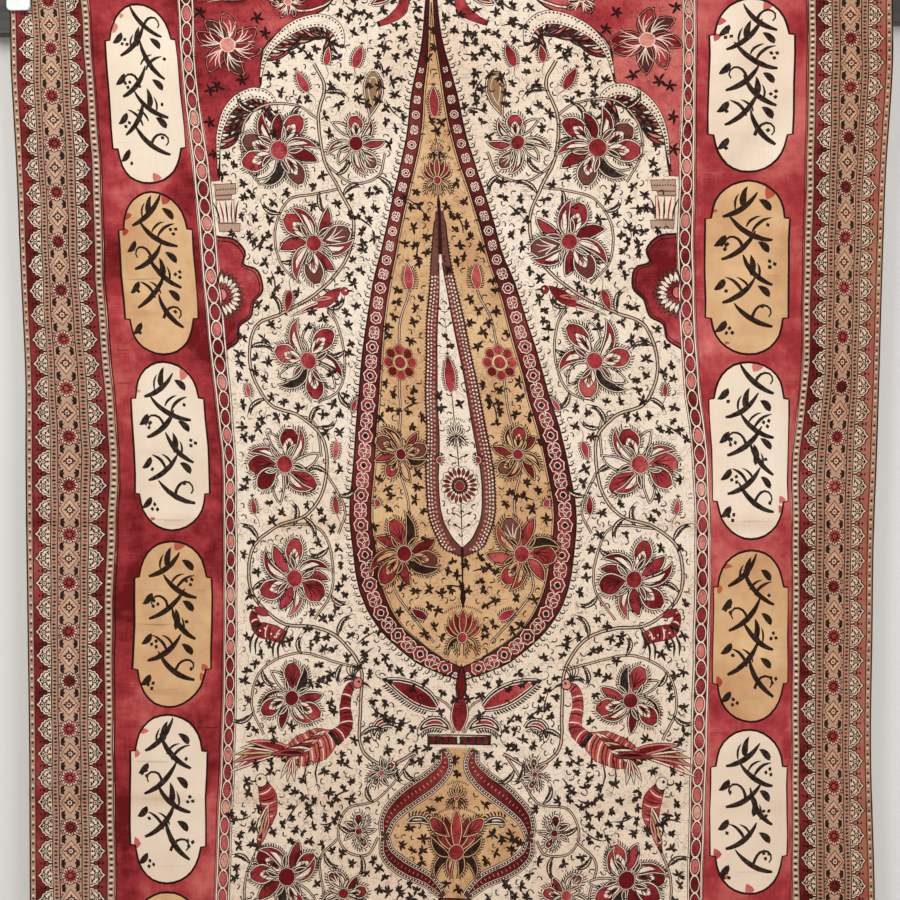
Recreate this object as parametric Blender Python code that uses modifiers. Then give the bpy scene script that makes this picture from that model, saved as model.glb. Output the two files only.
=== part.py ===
"""A kalamkari panel: one printed and painted cotton cloth, hung flat to a dark timber rail by five gripper tabs.

Metres, +Z up. The origin is the middle of the rail's back face, which is screwed to a wall in the plane Y = 0.
The cloth's face looks along -Y. The cloth is given first as it lies flat, across the width and down the drop,
and then as it hangs: where each printed line of the cloth ends up, and which soft folds stand on it.
"""

import math

import bmesh
import bpy
from mathutils import Vector

# The rail, a planed batten, and the grippers on its face.
RAIL_LENGTH = 1.320
RAIL_HEIGHT = 0.070
RAIL_DEPTH = 0.020
RAIL_EDGE_ROUND = 0.0015
TAB_WIDTH = 0.033
TAB_HEIGHT = 0.024
TAB_DEPTH = 0.005
TAB_CORNER = 0.006
TAB_EDGE_ROUND = 0.001
TOUCHING_GAP = 0.0003

# Each tab's middle on the rail's face. The first grips the corner lower than the others.
TABS = (
    # name, x, z
    ("tab_left_corner", -0.597, 0.008),
    ("tab_left", -0.300, 0.0185),
    ("tab_middle", 0.000, 0.0185),
    ("tab_right", 0.300, 0.0185),
    ("tab_right_corner", 0.578, 0.0185),
)

# The cloth as it lies flat: the printed lines, as distances either side of the middle.
CLOTH_THICKNESS = 0.0012
CLOTH_TOP = 0.026
CLOTH_DROP = 1.606
HEM_AT = 0.617
BAND_AT = 0.500
GUARD_AT = 0.348
FIELD_AT = 0.326
PRINTED_LINES = (-HEM_AT, -BAND_AT, -GUARD_AT, -FIELD_AT, 0.0, FIELD_AT, GUARD_AT, BAND_AT, HEM_AT)

# Where those lines hang, as x at each height. The cloth is pulled out at the top and narrows below it.
HANGING_LINES = (
    # height, left hem, band, guard, field, middle, field, guard, band, right hem
    (0.030, -0.613, -0.503, -0.378, -0.355, -0.027, 0.315, 0.334, 0.485, 0.598),
    (-0.100, -0.605, -0.490, -0.368, -0.348, -0.023, 0.314, 0.332, 0.482, 0.595),
    (-0.240, -0.597, -0.481, -0.352, -0.329, -0.017, 0.309, 0.331, 0.480, 0.586),
    (-0.380, -0.591, -0.477, -0.339, -0.316, -0.011, 0.308, 0.330, 0.477, 0.581),
    (-0.520, -0.585, -0.466, -0.324, -0.301, 0.001, 0.315, 0.337, 0.474, 0.577),
    (-0.620, -0.585, -0.458, -0.312, -0.292, 0.011, 0.326, 0.349, 0.462, 0.574),
    (-0.720, -0.584, -0.460, -0.310, -0.290, 0.016, 0.330, 0.352, 0.462, 0.570),
    (-0.860, -0.582, -0.464, -0.310, -0.290, 0.017, 0.328, 0.351, 0.462, 0.568),
    (-1.000, -0.580, -0.464, -0.313, -0.292, 0.012, 0.325, 0.348, 0.462, 0.566),
    (-1.200, -0.579, -0.461, -0.321, -0.300, 0.007, 0.320, 0.341, 0.462, 0.571),
    (-1.600, -0.577, -0.461, -0.321, -0.299, 0.004, 0.318, 0.340, 0.463, 0.573),
)

# The soft folds, each along a line from its upper to its lower end. A height below nothing is a trough.
FOLDS = (
    # name, upper x, upper z, lower x, lower z, half width, height
    ("left_edge_roll", -0.548, -0.06, -0.535, -1.56, 0.030, 0.0060),
    ("left_corner_drag", -0.590, -0.03, -0.500, -0.42, 0.020, 0.0060),
    ("left_border_drag", -0.572, -0.32, -0.475, -0.84, 0.020, 0.0045),
    ("left_band_trough", -0.466, -0.14, -0.452, -0.76, 0.026, -0.0090),
    ("left_band_foot", -0.458, -0.84, -0.455, -1.56, 0.024, -0.0060),
    ("left_red_swell", -0.412, -0.10, -0.385, -1.56, 0.030, 0.0055),
    ("left_spandrel_trough", -0.350, -0.06, -0.300, -0.47, 0.024, -0.0085),
    ("left_guard_trough", -0.338, -0.58, -0.328, -1.02, 0.024, -0.0090),
    ("left_guard_ridge", -0.296, -0.56, -0.288, -1.40, 0.020, 0.0060),
    ("left_field_swell", -0.175, -0.08, -0.140, -1.56, 0.060, 0.0065),
    ("middle_trough", -0.030, -0.10, 0.010, -1.56, 0.050, -0.0040),
    ("right_field_swell", 0.150, -0.10, 0.185, -1.56, 0.060, 0.0070),
    ("right_corner_drag", 0.575, -0.03, 0.495, -0.30, 0.020, 0.0060),
    ("right_band_drag", 0.505, -0.05, 0.280, -0.32, 0.024, 0.0070),
    ("right_spandrel_trough", 0.405, -0.20, 0.245, -0.41, 0.022, -0.0080),
    ("right_guard_ridge", 0.318, -0.42, 0.330, -1.56, 0.024, 0.0050),
    ("right_red_swell", 0.402, -0.40, 0.400, -1.56, 0.030, 0.0050),
    ("right_band_trough", 0.472, -0.26, 0.462, -1.56, 0.022, -0.0095),
    ("right_border_ridge", 0.520, -0.30, 0.512, -1.56, 0.028, 0.0060),
)

# How far the cloth comes forward of the rail's face: nothing under the tabs, then clear of the rail's edge.
FREE_FROM = -0.006
FREE_BY = -0.092
FREE_DISTANCE = 0.011
FOLDS_START_AT = -0.030
FOLDS_FULL_AT = -0.170
FOLD_END_FADE = 0.120

# The uneven lower hem: two slow waves across the width.
HEM_WAVES = ((0.0030, 5.3, 0.6), (0.0020, 13.1, 2.0))

CLOTH_COLUMNS = 58
CLOTH_ROWS = 40
ROWS_CROWD_TO_TOP = 0.6


def smooth_step(value, start, end):
    share = min(max((value - start) / (end - start), 0.0), 1.0)
    return share * share * (3.0 - 2.0 * share)


def hanging_x(column, height):
    """The x of one printed line at a height, on a smooth curve through the table's rows."""
    rows = HANGING_LINES
    last = len(rows) - 1
    at = next((i for i in range(last) if height >= rows[i + 1][0]), last - 1)
    before, upper, lower, after = (rows[min(max(i, 0), last)] for i in range(at - 1, at + 3))
    share = min(max((upper[0] - height) / (upper[0] - lower[0]), 0.0), 1.0)

    def slope(first, second):
        return (second[column] - first[column]) / max(first[0] - second[0], 1e-9)

    span = upper[0] - lower[0]
    start, end = slope(before, lower) * span, slope(upper, after) * span
    square, cube = share * share, share * share * share
    return (
        (2 * cube - 3 * square + 1) * upper[column]
        + (cube - 2 * square + share) * start
        + (3 * square - 2 * cube) * lower[column]
        + (cube - square) * end
    )


def fold_height(x, z):
    """How far all the soft folds together lift the cloth at one place."""
    lift = 0.0
    for _, upper_x, upper_z, lower_x, lower_z, half_width, height in FOLDS:
        along = Vector((lower_x - upper_x, lower_z - upper_z))
        length = along.length
        along.normalize()
        offset = Vector((x - upper_x, z - upper_z))
        travelled = offset.dot(along)
        beside = offset.x * along.y - offset.y * along.x
        ends = smooth_step(travelled, -FOLD_END_FADE, FOLD_END_FADE)
        ends *= smooth_step(length - travelled, -FOLD_END_FADE, FOLD_END_FADE)
        lift += height * ends * math.exp(-((beside / half_width) ** 2))
    return lift * smooth_step(-z, -FOLDS_START_AT, -FOLDS_FULL_AT)


def hang(across, down):
    """The place in the air of a point of the flat cloth, on the cloth's middle layer."""
    hem = sum(size * math.sin(waves * across + phase) for size, waves, phase in HEM_WAVES)
    z = CLOTH_TOP - down + hem * smooth_step(down / CLOTH_DROP, 0.6, 1.0)
    lines = PRINTED_LINES
    at = next((i for i in range(len(lines) - 1) if across <= lines[i + 1]), len(lines) - 2)
    share = (across - lines[at]) / (lines[at + 1] - lines[at])
    x = hanging_x(at + 1, z) * (1.0 - share) + hanging_x(at + 2, z) * share
    at_rail = RAIL_DEPTH + TOUCHING_GAP + CLOTH_THICKNESS / 2
    forward = FREE_DISTANCE * smooth_step(-z, -FREE_FROM, -FREE_BY) + fold_height(x, z)
    return Vector((x, -at_rail - forward, z))


def finish_of(name, colour, roughness, metallic=0.0):
    """A plain Principled material."""
    material = bpy.data.materials.new(name)
    material.use_nodes = True
    shader = material.node_tree.nodes["Principled BSDF"]
    shader.inputs["Base Color"].default_value = (*colour, 1.0)
    shader.inputs["Roughness"].default_value = roughness
    shader.inputs["Metallic"].default_value = metallic
    return material


def put_in(collection, thing):
    for other in thing.users_collection:
        other.objects.unlink(thing)
    collection.objects.link(thing)


def add_bevel(thing, width, segments):
    bevel = thing.modifiers.new("rounded edges", "BEVEL")
    bevel.width = width
    bevel.segments = segments
    bevel.limit_method = "ANGLE"


def make_cloth(collection):
    """The panel: one grid of cloth, moved from flat to hanging and given its thickness."""
    bpy.ops.mesh.primitive_grid_add(x_subdivisions=CLOTH_COLUMNS, y_subdivisions=CLOTH_ROWS, size=2.0)
    cloth = bpy.context.object
    cloth.name = "panel"
    for vertex in cloth.data.vertices:
        across = vertex.co.x * HEM_AT
        share_down = (1.0 - vertex.co.y) / 2.0
        crowded = share_down * (1.0 - ROWS_CROWD_TO_TOP) + share_down * share_down * ROWS_CROWD_TO_TOP
        down = crowded * CLOTH_DROP
        vertex.co = hang(across, down)
    cloth.data.shade_smooth()
    thickness = cloth.modifiers.new("cloth thickness", "SOLIDIFY")
    thickness.thickness = CLOTH_THICKNESS
    thickness.offset = 0.0
    cloth.data.materials.append(finish_of("dyed cotton", (0.55, 0.27, 0.22), 0.9))
    put_in(collection, cloth)
    return cloth


def make_rail(collection, timber):
    """The batten, its back face in the plane of the wall."""
    bpy.ops.mesh.primitive_cube_add(size=1.0, location=(0.0, -RAIL_DEPTH / 2, 0.0))
    rail = bpy.context.object
    rail.name = "rail"
    rail.scale = (RAIL_LENGTH, RAIL_DEPTH, RAIL_HEIGHT)
    bpy.ops.object.transform_apply(location=False, rotation=False, scale=True)
    add_bevel(rail, RAIL_EDGE_ROUND, 2)
    rail.data.materials.append(timber)
    put_in(collection, rail)
    return rail


def make_tab(collection, name, x, z, plastic):
    """One gripper: a plate with round corners that presses the cloth to the rail."""
    shape = bmesh.new()
    bmesh.ops.create_cube(shape, size=1.0)
    bmesh.ops.scale(shape, vec=(TAB_WIDTH, TAB_DEPTH, TAB_HEIGHT), verts=shape.verts)
    upright = [edge for edge in shape.edges if abs((edge.verts[0].co - edge.verts[1].co).y) > TAB_DEPTH / 2]
    bmesh.ops.bevel(shape, geom=upright, offset=TAB_CORNER, segments=6, profile=0.5, affect="EDGES")
    mesh = bpy.data.meshes.new(name)
    shape.to_mesh(mesh)
    shape.free()
    tab = bpy.data.objects.new(name, mesh)
    cloth_front = RAIL_DEPTH + TOUCHING_GAP + CLOTH_THICKNESS
    tab.location = (x, -cloth_front - TOUCHING_GAP - TAB_DEPTH / 2, z)
    add_bevel(tab, TAB_EDGE_ROUND, 2)
    mesh.materials.append(plastic)
    collection.objects.link(tab)
    return tab


def main():
    for thing in list(bpy.data.objects):
        bpy.data.objects.remove(thing)
    collection = bpy.data.collections.new("kalamkari panel")
    bpy.context.scene.collection.children.link(collection)
    make_rail(collection, finish_of("dark stained timber", (0.03, 0.022, 0.02), 0.55))
    make_cloth(collection)
    plastic = finish_of("pale clear plastic", (0.66, 0.74, 0.74), 0.2)
    for name, x, z in TABS:
        make_tab(collection, name, x, z, plastic)


main()
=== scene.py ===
import cmath
import math
import random

import bpy
import numpy as np
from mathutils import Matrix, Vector
from mathutils.geometry import delaunay_2d_cdt


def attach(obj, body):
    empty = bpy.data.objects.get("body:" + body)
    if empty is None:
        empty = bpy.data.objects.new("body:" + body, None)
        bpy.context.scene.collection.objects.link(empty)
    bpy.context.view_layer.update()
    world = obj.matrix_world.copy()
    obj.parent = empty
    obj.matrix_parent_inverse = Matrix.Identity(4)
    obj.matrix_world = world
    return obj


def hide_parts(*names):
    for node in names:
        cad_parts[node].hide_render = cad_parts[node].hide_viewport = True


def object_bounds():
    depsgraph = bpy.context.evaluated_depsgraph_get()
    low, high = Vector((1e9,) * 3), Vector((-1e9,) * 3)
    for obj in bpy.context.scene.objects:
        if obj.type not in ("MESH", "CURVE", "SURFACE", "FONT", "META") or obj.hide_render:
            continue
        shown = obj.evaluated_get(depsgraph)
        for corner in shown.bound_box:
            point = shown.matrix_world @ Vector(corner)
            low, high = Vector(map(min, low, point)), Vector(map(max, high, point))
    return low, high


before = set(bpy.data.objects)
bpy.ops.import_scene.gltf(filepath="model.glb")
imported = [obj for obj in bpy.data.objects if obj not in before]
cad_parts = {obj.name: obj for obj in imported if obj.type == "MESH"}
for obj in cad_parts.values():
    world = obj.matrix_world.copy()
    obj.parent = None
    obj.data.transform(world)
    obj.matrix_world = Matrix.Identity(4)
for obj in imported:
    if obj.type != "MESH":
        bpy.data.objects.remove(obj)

cad_box = [list(corner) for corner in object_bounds()]

# --------------------------------------------------------------------------------------------------
# The hang of the cloth. One width of cotton, gripped along its top edge, is pulled out to its two upper
# corners and narrows below them, so its printed lines wander as they come down, over a dozen and a half
# soft uneven folds.

HEM_AT, BAND_AT, GUARD_AT, FIELD_AT = 617.0, 500.0, 348.0, 326.0
CARTOUCHE_OUTER, CARTOUCHE_INNER = 480.0, 368.0
CLOTH_TOP, CLOTH_FOOT = 26.0, -1580.0
PRINTED_LINES = (
    -HEM_AT, -BAND_AT, -CARTOUCHE_OUTER, -CARTOUCHE_INNER, -GUARD_AT, -FIELD_AT, 0.0,
    FIELD_AT, GUARD_AT, CARTOUCHE_INNER, CARTOUCHE_OUTER, BAND_AT, HEM_AT,
)
HANGING_LINES = (
    # height, left hem, band, two of the cartouche, guard, field, middle,
    # field, guard, two of the cartouche, band, right hem
    (30, -613, -503, -482, -388, -378, -355, -27, 315, 334, 352, 468, 485, 598),
    (-100, -605, -490, -471, -371, -368, -348, -23, 314, 332, 350, 464, 482, 595),
    (-240, -597, -481, -463, -359, -352, -329, -17, 309, 331, 346, 461, 480, 586),
    (-380, -591, -477, -452, -348, -339, -316, -11, 308, 330, 344, 457, 477, 581),
    (-520, -585, -466, -441, -339, -324, -301, 1, 315, 337, 348, 459, 474, 577),
    (-620, -585, -458, -434, -332, -312, -292, 11, 326, 349, 353, 457, 462, 574),
    (-720, -584, -460, -433, -329, -310, -290, 16, 330, 352, 355, 457, 462, 570),
    (-860, -582, -464, -434, -328, -310, -290, 17, 328, 351, 355, 457, 462, 568),
    (-1000, -580, -464, -439, -333, -313, -292, 12, 325, 348, 352, 456, 462, 566),
    (-1200, -579, -461, -440, -335, -321, -300, 7, 320, 341, 350, 456, 462, 571),
    (-1600, -577, -461, -440, -335, -321, -299, 4, 318, 340, 350, 456, 463, 573),
)
FOLDS = (
    # upper x, upper height, lower x, lower height, half width, lift
    (-548, -60, -535, -1560, 30, 6.0),
    (-590, -30, -500, -420, 20, 6.0),
    (-572, -320, -475, -840, 20, 4.5),
    (-466, -140, -452, -760, 26, -9.0),
    (-458, -840, -455, -1560, 24, -6.0),
    (-412, -100, -385, -1560, 30, 5.5),
    (-350, -60, -300, -470, 24, -8.5),
    (-338, -580, -328, -1020, 24, -9.0),
    (-296, -560, -288, -1400, 20, 6.0),
    (-175, -80, -140, -1560, 60, 6.5),
    (-30, -100, 10, -1560, 50, -4.0),
    (150, -100, 185, -1560, 60, 7.0),
    (575, -30, 495, -300, 20, 6.0),
    (505, -50, 280, -320, 24, 7.0),
    (405, -200, 245, -410, 22, -8.0),
    (318, -420, 330, -1560, 24, 5.0),
    (402, -400, 400, -1560, 30, 5.0),
    (472, -260, 462, -1560, 22, -9.5),
    (520, -300, 512, -1560, 28, 6.0),
)
PRESSED_FOLDS = (-318.0, -710.0, -1087.0, -1465.0)
CREASE_LIFT, CREASE_HALF = 1.1, 7.0
AT_RAIL, FREE_FROM, FREE_BY, FREE_DISTANCE = 20.9, -6.0, -92.0, 11.0
HEM_WAVES = ((3.0, 0.0053, 0.6), (2.0, 0.0131, 2.0))


def smooth_step(value, start, end):
    share = np.clip((value - start) / (end - start), 0.0, 1.0)
    return share * share * (3.0 - 2.0 * share)


def hanging_x(across, height):
    """Where points of the flat cloth hang from side to side, on smooth curves through the table's rows."""
    rows = np.array(HANGING_LINES, float)
    heights, places = rows[:, 0], rows[:, 1:]
    slopes = np.gradient(places, heights, axis=0)
    at = np.clip(np.searchsorted(-heights, -height, side="right") - 1, 0, len(rows) - 2)
    span = heights[at + 1] - heights[at]
    share = np.clip((height - heights[at]) / span, 0.0, 1.0)
    line = np.clip(np.searchsorted(PRINTED_LINES, across) - 1, 0, len(PRINTED_LINES) - 2)
    printed = np.array(PRINTED_LINES)
    beside = (across - printed[line]) / (printed[line + 1] - printed[line])
    square, cube = share**2, share**3
    sides = []
    for column in (line, line + 1):
        sides.append(
            (2 * cube - 3 * square + 1) * places[at, column]
            + (cube - 2 * square + share) * slopes[at, column] * span
            + (3 * square - 2 * cube) * places[at + 1, column]
            + (cube - square) * slopes[at + 1, column] * span
        )
    return sides[0] * (1 - beside) + sides[1] * beside


def hang(across, height):
    """Flat cloth, in millimetres across and up, to its place in the air, in metres."""
    hem = sum(size * np.sin(waves * across + phase) for size, waves, phase in HEM_WAVES)
    z = height + hem * smooth_step((CLOTH_TOP - height) / (CLOTH_TOP - CLOTH_FOOT), 0.6, 1.0)
    x = hanging_x(across, z)
    lift = np.zeros_like(x)
    for upper_x, upper_z, lower_x, lower_z, half_width, height_of in FOLDS:
        way = complex(lower_x - upper_x, lower_z - upper_z)
        local = (x - upper_x + 1j * (z - upper_z)) * (way / abs(way)).conjugate()
        ends = smooth_step(local.real, -120.0, 120.0) * smooth_step(abs(way) - local.real, -120.0, 120.0)
        lift += height_of * ends * np.exp(-((local.imag / half_width) ** 2))
    for crease in PRESSED_FOLDS:
        lift += CREASE_LIFT * np.exp(-(((z - crease + 0.004 * x) / CREASE_HALF) ** 2))
    lift *= smooth_step(-z, 30.0, 170.0)
    forward = FREE_DISTANCE * smooth_step(-z, -FREE_FROM, -FREE_BY) + lift
    return np.stack([x, -AT_RAIL - forward, z], axis=-1) * 0.001


# --------------------------------------------------------------------------------------------------
# The print. Blocks, brush and pen lay iron black, madder red and a buff dye on the flat cloth, one over
# another. Each shape is kept as an outline, in the order in which it is laid down, and the cloth's mesh
# is cut along them below.

INK = (1.0, None, None)
CREAM = (0.0, 0.0, 0.0)
TAN = (0.0, 0.0, 1.0)
OLIVE = (0.55, 0.05, 1.0)
MADDER = (0.0, 0.84, 0.0)
DEEP = (0.0, 1.0, 0.0)
PINK = (0.0, 0.5, 0.0)
DUSK = (0.8, 0.5, 0.3)

printed_points = []
starts = [0]
printed_faces = []
printed_dyes = []
CELL = 2.0
taken = np.zeros((int(2 * HEM_AT / CELL) + 2, int((CLOTH_TOP - CLOTH_FOOT) / CELL) + 2), bool)


class Spot:
    """A place for a motif: it is moved, turned, sized and, for the other side of the cloth, mirrored."""

    def __init__(self, x=0.0, y=0.0, turn=0.0, size=1.0, flip=False):
        self.place = complex(x, y)
        self.factor = size * cmath.exp(1j * turn)
        self.flip = flip

    def __call__(self, points):
        points = np.asarray(points, complex)
        return self.place + self.factor * (points.conj() if self.flip else points)

    def at(self, x, y, turn=0.0, size=1.0, flip=False):
        """A spot inside this one."""
        inner = Spot()
        step = size * cmath.exp(1j * turn)
        inner.place = complex(self(complex(x, y)))
        inner.factor = self.factor * (step.conjugate() if self.flip else step)
        inner.flip = self.flip != flip
        return inner


SHEET = Spot()
SIDES = (Spot(), Spot(turn=math.pi, flip=True))


def keep_free(points):
    """Marks the cloth under these points as taken."""
    cells_x = np.clip(((points.real + HEM_AT) / CELL).astype(int), 0, taken.shape[0] - 1)
    cells_y = np.clip(((CLOTH_TOP - points.imag) / CELL).astype(int), 0, taken.shape[1] - 1)
    taken[cells_x, cells_y] = True


def is_free(x, y, radius):
    cell_x, cell_y = int((x + HEM_AT) / CELL), int((CLOTH_TOP - y) / CELL)
    reach = int(radius / CELL)
    return not taken[
        max(cell_x - reach, 0) : cell_x + reach + 1, max(cell_y - reach, 0) : cell_y + reach + 1
    ].any()


def lay(points):
    """Keeps points for the mesh and gives the number of the first."""
    printed_points.append(points)
    starts.append(starts[-1] + len(points))
    return starts[-2]


def area(spot, outline, dye):
    """A filled outline that doesn't cross itself."""
    points = spot(outline)
    keep_free(points)
    turned = np.sum(points.real * np.roll(points.imag, -1) - np.roll(points.real, -1) * points.imag)
    order = range(len(points)) if turned > 0 else range(len(points) - 1, -1, -1)
    start = lay(points)
    printed_faces.append([start + i for i in order])
    printed_dyes.append(dye)


def blade(spot, path, half, dye):
    """A leaf, petal or brush stroke: a line with a half width, in millimetres, at each of its points."""
    half = np.broadcast_to(half, np.shape(path))
    wide = np.flatnonzero(half > 0.06)
    if len(wide) == 0:
        return
    shown = slice(max(wide[0] - 1, 0), wide[-1] + 2)
    path, half = spot(path[shown]), half[shown]
    keep_free(path)
    along = np.gradient(path)
    side = 1j * along / np.maximum(np.abs(along), 1e-9) * half
    points = np.concatenate([path + side, path - side])
    count = len(path)
    start = lay(points)
    left, right = points[:count], points[count:]
    lower = ((right[:-1] - left[:-1]).conjugate() * (right[1:] - left[:-1])).imag
    upper = ((right[1:] - left[:-1]).conjugate() * (left[1:] - left[:-1])).imag
    if min(lower.min(), upper.min()) > -1e-3:
        widest = int(np.argmax(half[:-1] + half[1:])) + 1
        outline = [start + count + i for i in range(count)] + [start + i for i in reversed(range(count))]
        printed_faces.append(outline[widest:] + outline[:widest])
        printed_dyes.append(dye)
        return
    for i in range(count - 1):
        for corners, turned in (((i, count + i, count + i + 1), lower[i]),
                                ((i, count + i + 1, i + 1), upper[i])):
            if abs(turned) > 1e-3:
                ordered = corners if turned > 0 else corners[::-1]
                printed_faces.append([start + k for k in ordered])
                printed_dyes.append(dye)


def arc(shares, length, bend):
    """Points along an arc that leaves the origin towards +x and turns by bend."""
    shares = np.asarray(shares, float)
    if abs(bend) < 1e-6:
        return length * shares + 0j
    return length * (np.exp(1j * bend * shares) - 1) / (1j * bend)


def through(points, steps=6):
    """A smooth curve through a few points."""
    points = [complex(*p) if isinstance(p, tuple) else complex(p) for p in points]
    ends = [2 * points[0] - points[1]] + points + [2 * points[-1] - points[-2]]
    curve = []
    for a, b, c, d in zip(ends, ends[1:], ends[2:], ends[3:]):
        for step in range(steps):
            t = step / steps
            square, cube = (2 * a - 5 * b + 4 * c - d) * t**2, (3 * b - a - 3 * c + d) * t**3
            curve.append(0.5 * (2 * b + (c - a) * t + square + cube))
    return np.array(curve + [points[-1]])


def walk(path, pitch, first=0.5):
    """Places at even steps along a path, each with its direction as an angle."""
    path = np.asarray(path, complex)
    lengths = np.concatenate([[0], np.cumsum(np.abs(np.diff(path)))])
    count = max(int(round(lengths[-1] / pitch)), 1)
    at = (np.arange(count) + first) * lengths[-1] / count
    places = np.interp(at, lengths, path.real) + 1j * np.interp(at, lengths, path.imag)
    ahead = np.interp(at + 0.5, lengths, path.real) + 1j * np.interp(at + 0.5, lengths, path.imag)
    behind = np.interp(at - 0.5, lengths, path.real) + 1j * np.interp(at - 0.5, lengths, path.imag)
    return list(zip(places, np.angle(ahead - behind)))


PEN = 1.55


def stroke(spot, path, width, dye=INK, taper=True):
    """A pen or brush line, thin at its ends if it tapers."""
    width = width * PEN if width < 2.5 else width
    path = np.asarray(path, complex)
    t = np.linspace(0, 1, len(path))
    half = width / 2 * (np.sin(np.pi * (0.12 + 0.84 * t)) ** 0.8 if taper else np.ones(len(path)))
    blade(spot, path, half, dye)


def ring(count, radius, wave=0.0, lobes=0, squash=1.0):
    """A closed round outline, plain or lobed."""
    turn = np.arange(count) * 2 * np.pi / count
    reach = radius * (1 + wave * np.cos(lobes * turn))
    return reach * (np.cos(turn) + 1j * squash * np.sin(turn))


def dot(spot, x, y, radius, dye=INK, corners=6):
    area(spot.at(x, y), ring(corners, radius), dye)


def nested(spot, length, width, bend, skew, layers, count=9):
    """One leaf or petal in another: each layer is inset by so many millimetres."""
    for inset, dye in layers:
        inset *= PEN
        if width / 2 <= inset or length <= 2.6 * inset:
            continue
        t = np.linspace(inset / length, 1 - 1.4 * inset / length, count)
        half = width / 2 * np.sin(np.pi * np.clip(t, 0, 1) ** skew) ** 0.75 - inset * 0.92
        blade(spot, arc(t, length, bend), np.maximum(half, 0.0), dye)


def comb(spot, path, reach, pitch, lean=0.4, width=1.1, side=1, dye=INK, bend=0.5):
    """Short curved pen strokes that stand along one side of a line."""
    for place, heading in walk(path, pitch):
        tooth = spot.at(place.real, place.imag, heading + side * (math.pi / 2 - lean))
        stroke(tooth, arc([0, 0.5, 1], reach, -side * bend), width, dye)


def curl(spot, length, turns, width=1.2, dye=INK):
    """A hook or tendril that winds in on itself."""
    t = np.linspace(0, 1, 9)
    heading = turns * t**1.6
    path = np.concatenate([[0], np.cumsum(np.exp(1j * heading[:-1]) * length / 8)])
    blade(spot, path, width / 2 * (1 - 0.55 * t), dye)


# --------------------------------------------------------------------------------------------------
# The outer border. Three rows are stamped with small wooden blocks along both sides and across the foot:
# a row of pointed leaves, a row of rosettes and a second row of leaves, each between dotted guard lines.

BORDER_PITCH = 33.46
BORDER_ROWS = (0.0, 10.0, 33.0, 44.0, 72.0, 84.0, 105.0, 117.0)
FOOT_BORDER_TOP = CLOTH_FOOT + BORDER_ROWS[-1]
WORN_RED = (0.32, 0.86, 0.0)
GUARD_GREY = (0.42, 0.12, 0.35)


def stripe(spot, start, end, low, high, dye):
    """A straight band, in short lengths so that it follows the cloth."""
    count = max(int((end - start) / 40), 1)
    xs = np.linspace(start, end, count + 1)
    blade(spot, xs + 1j * (low + high) / 2, (high - low) / 2, dye)


def guard_row(spot, length, low, high, ground, bead, pitch=5.2):
    stripe(spot, 0, length, low, high, ground)
    stripe(spot, 0, length, low, low + 1.4, INK)
    stripe(spot, 0, length, high - 1.4, high, INK)
    middle, size = (low + high) / 2, (high - low) / 2 - 2.4
    for step in range(int(length / pitch)):
        x = (step + 0.5) * pitch
        area(spot.at(x, middle), np.array([-1, -1j, 1, 1j]) * np.array([1.9, size, 1.9, size]),
             bead[step % len(bead)])


def leaf_block(spot, wide, tall, dark):
    """One pointed leaf with a sprig inside, its foot on the row's line."""
    half = wide / 2
    steps = np.array([(0, 0), (0.3, 4.2), (2.8, 5.8), (2.8, 9.8), (6.0, 11.2), (7.0, 14.2), (12.4, 16.0),
                      (16.7, 20.5)])
    rise = (steps[:, 0] - 16.7) * half / 16.7 + 1j * steps[:, 1] * tall / 20.5
    outline = np.concatenate([rise, -rise[-2::-1].conj()])
    area(spot, outline, CREAM)
    stroke(spot, outline, 1.1, INK, taper=False)
    stroke(spot, outline * 0.8, 0.9, INK, taper=False)
    dot(spot, 0, 8.2 * tall / 20, 4.0, INK, 8)
    dot(spot, 0, 8.2 * tall / 20, 2.4, CREAM, 8)
    dot(spot, 0, 8.2 * tall / 20, 1.4, dark, 6)
    for turn in range(0, 360, 60):
        heading = math.radians(turn + 30)
        tip = spot.at(4.6 * math.cos(heading), 8.2 * tall / 20 + 4.6 * math.sin(heading), heading)
        blade(tip, np.array([-0.8, 1.5, 4.4]) + 0j, np.array([0.4, 1.6, 0.0]), INK)
    for side in (-1, 1):
        blade(spot, np.array([side * 4.5 + 1j, side * 8 + 2.8j, side * 12 + 1.4j]),
              np.array([0.4, 1.6, 0.2]), INK)
        dot(spot, side * 16.4, 11.0, 1.9, INK, 5)
        dot(spot, side * 16.4, 15.8, 1.5, INK, 5)


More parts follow.
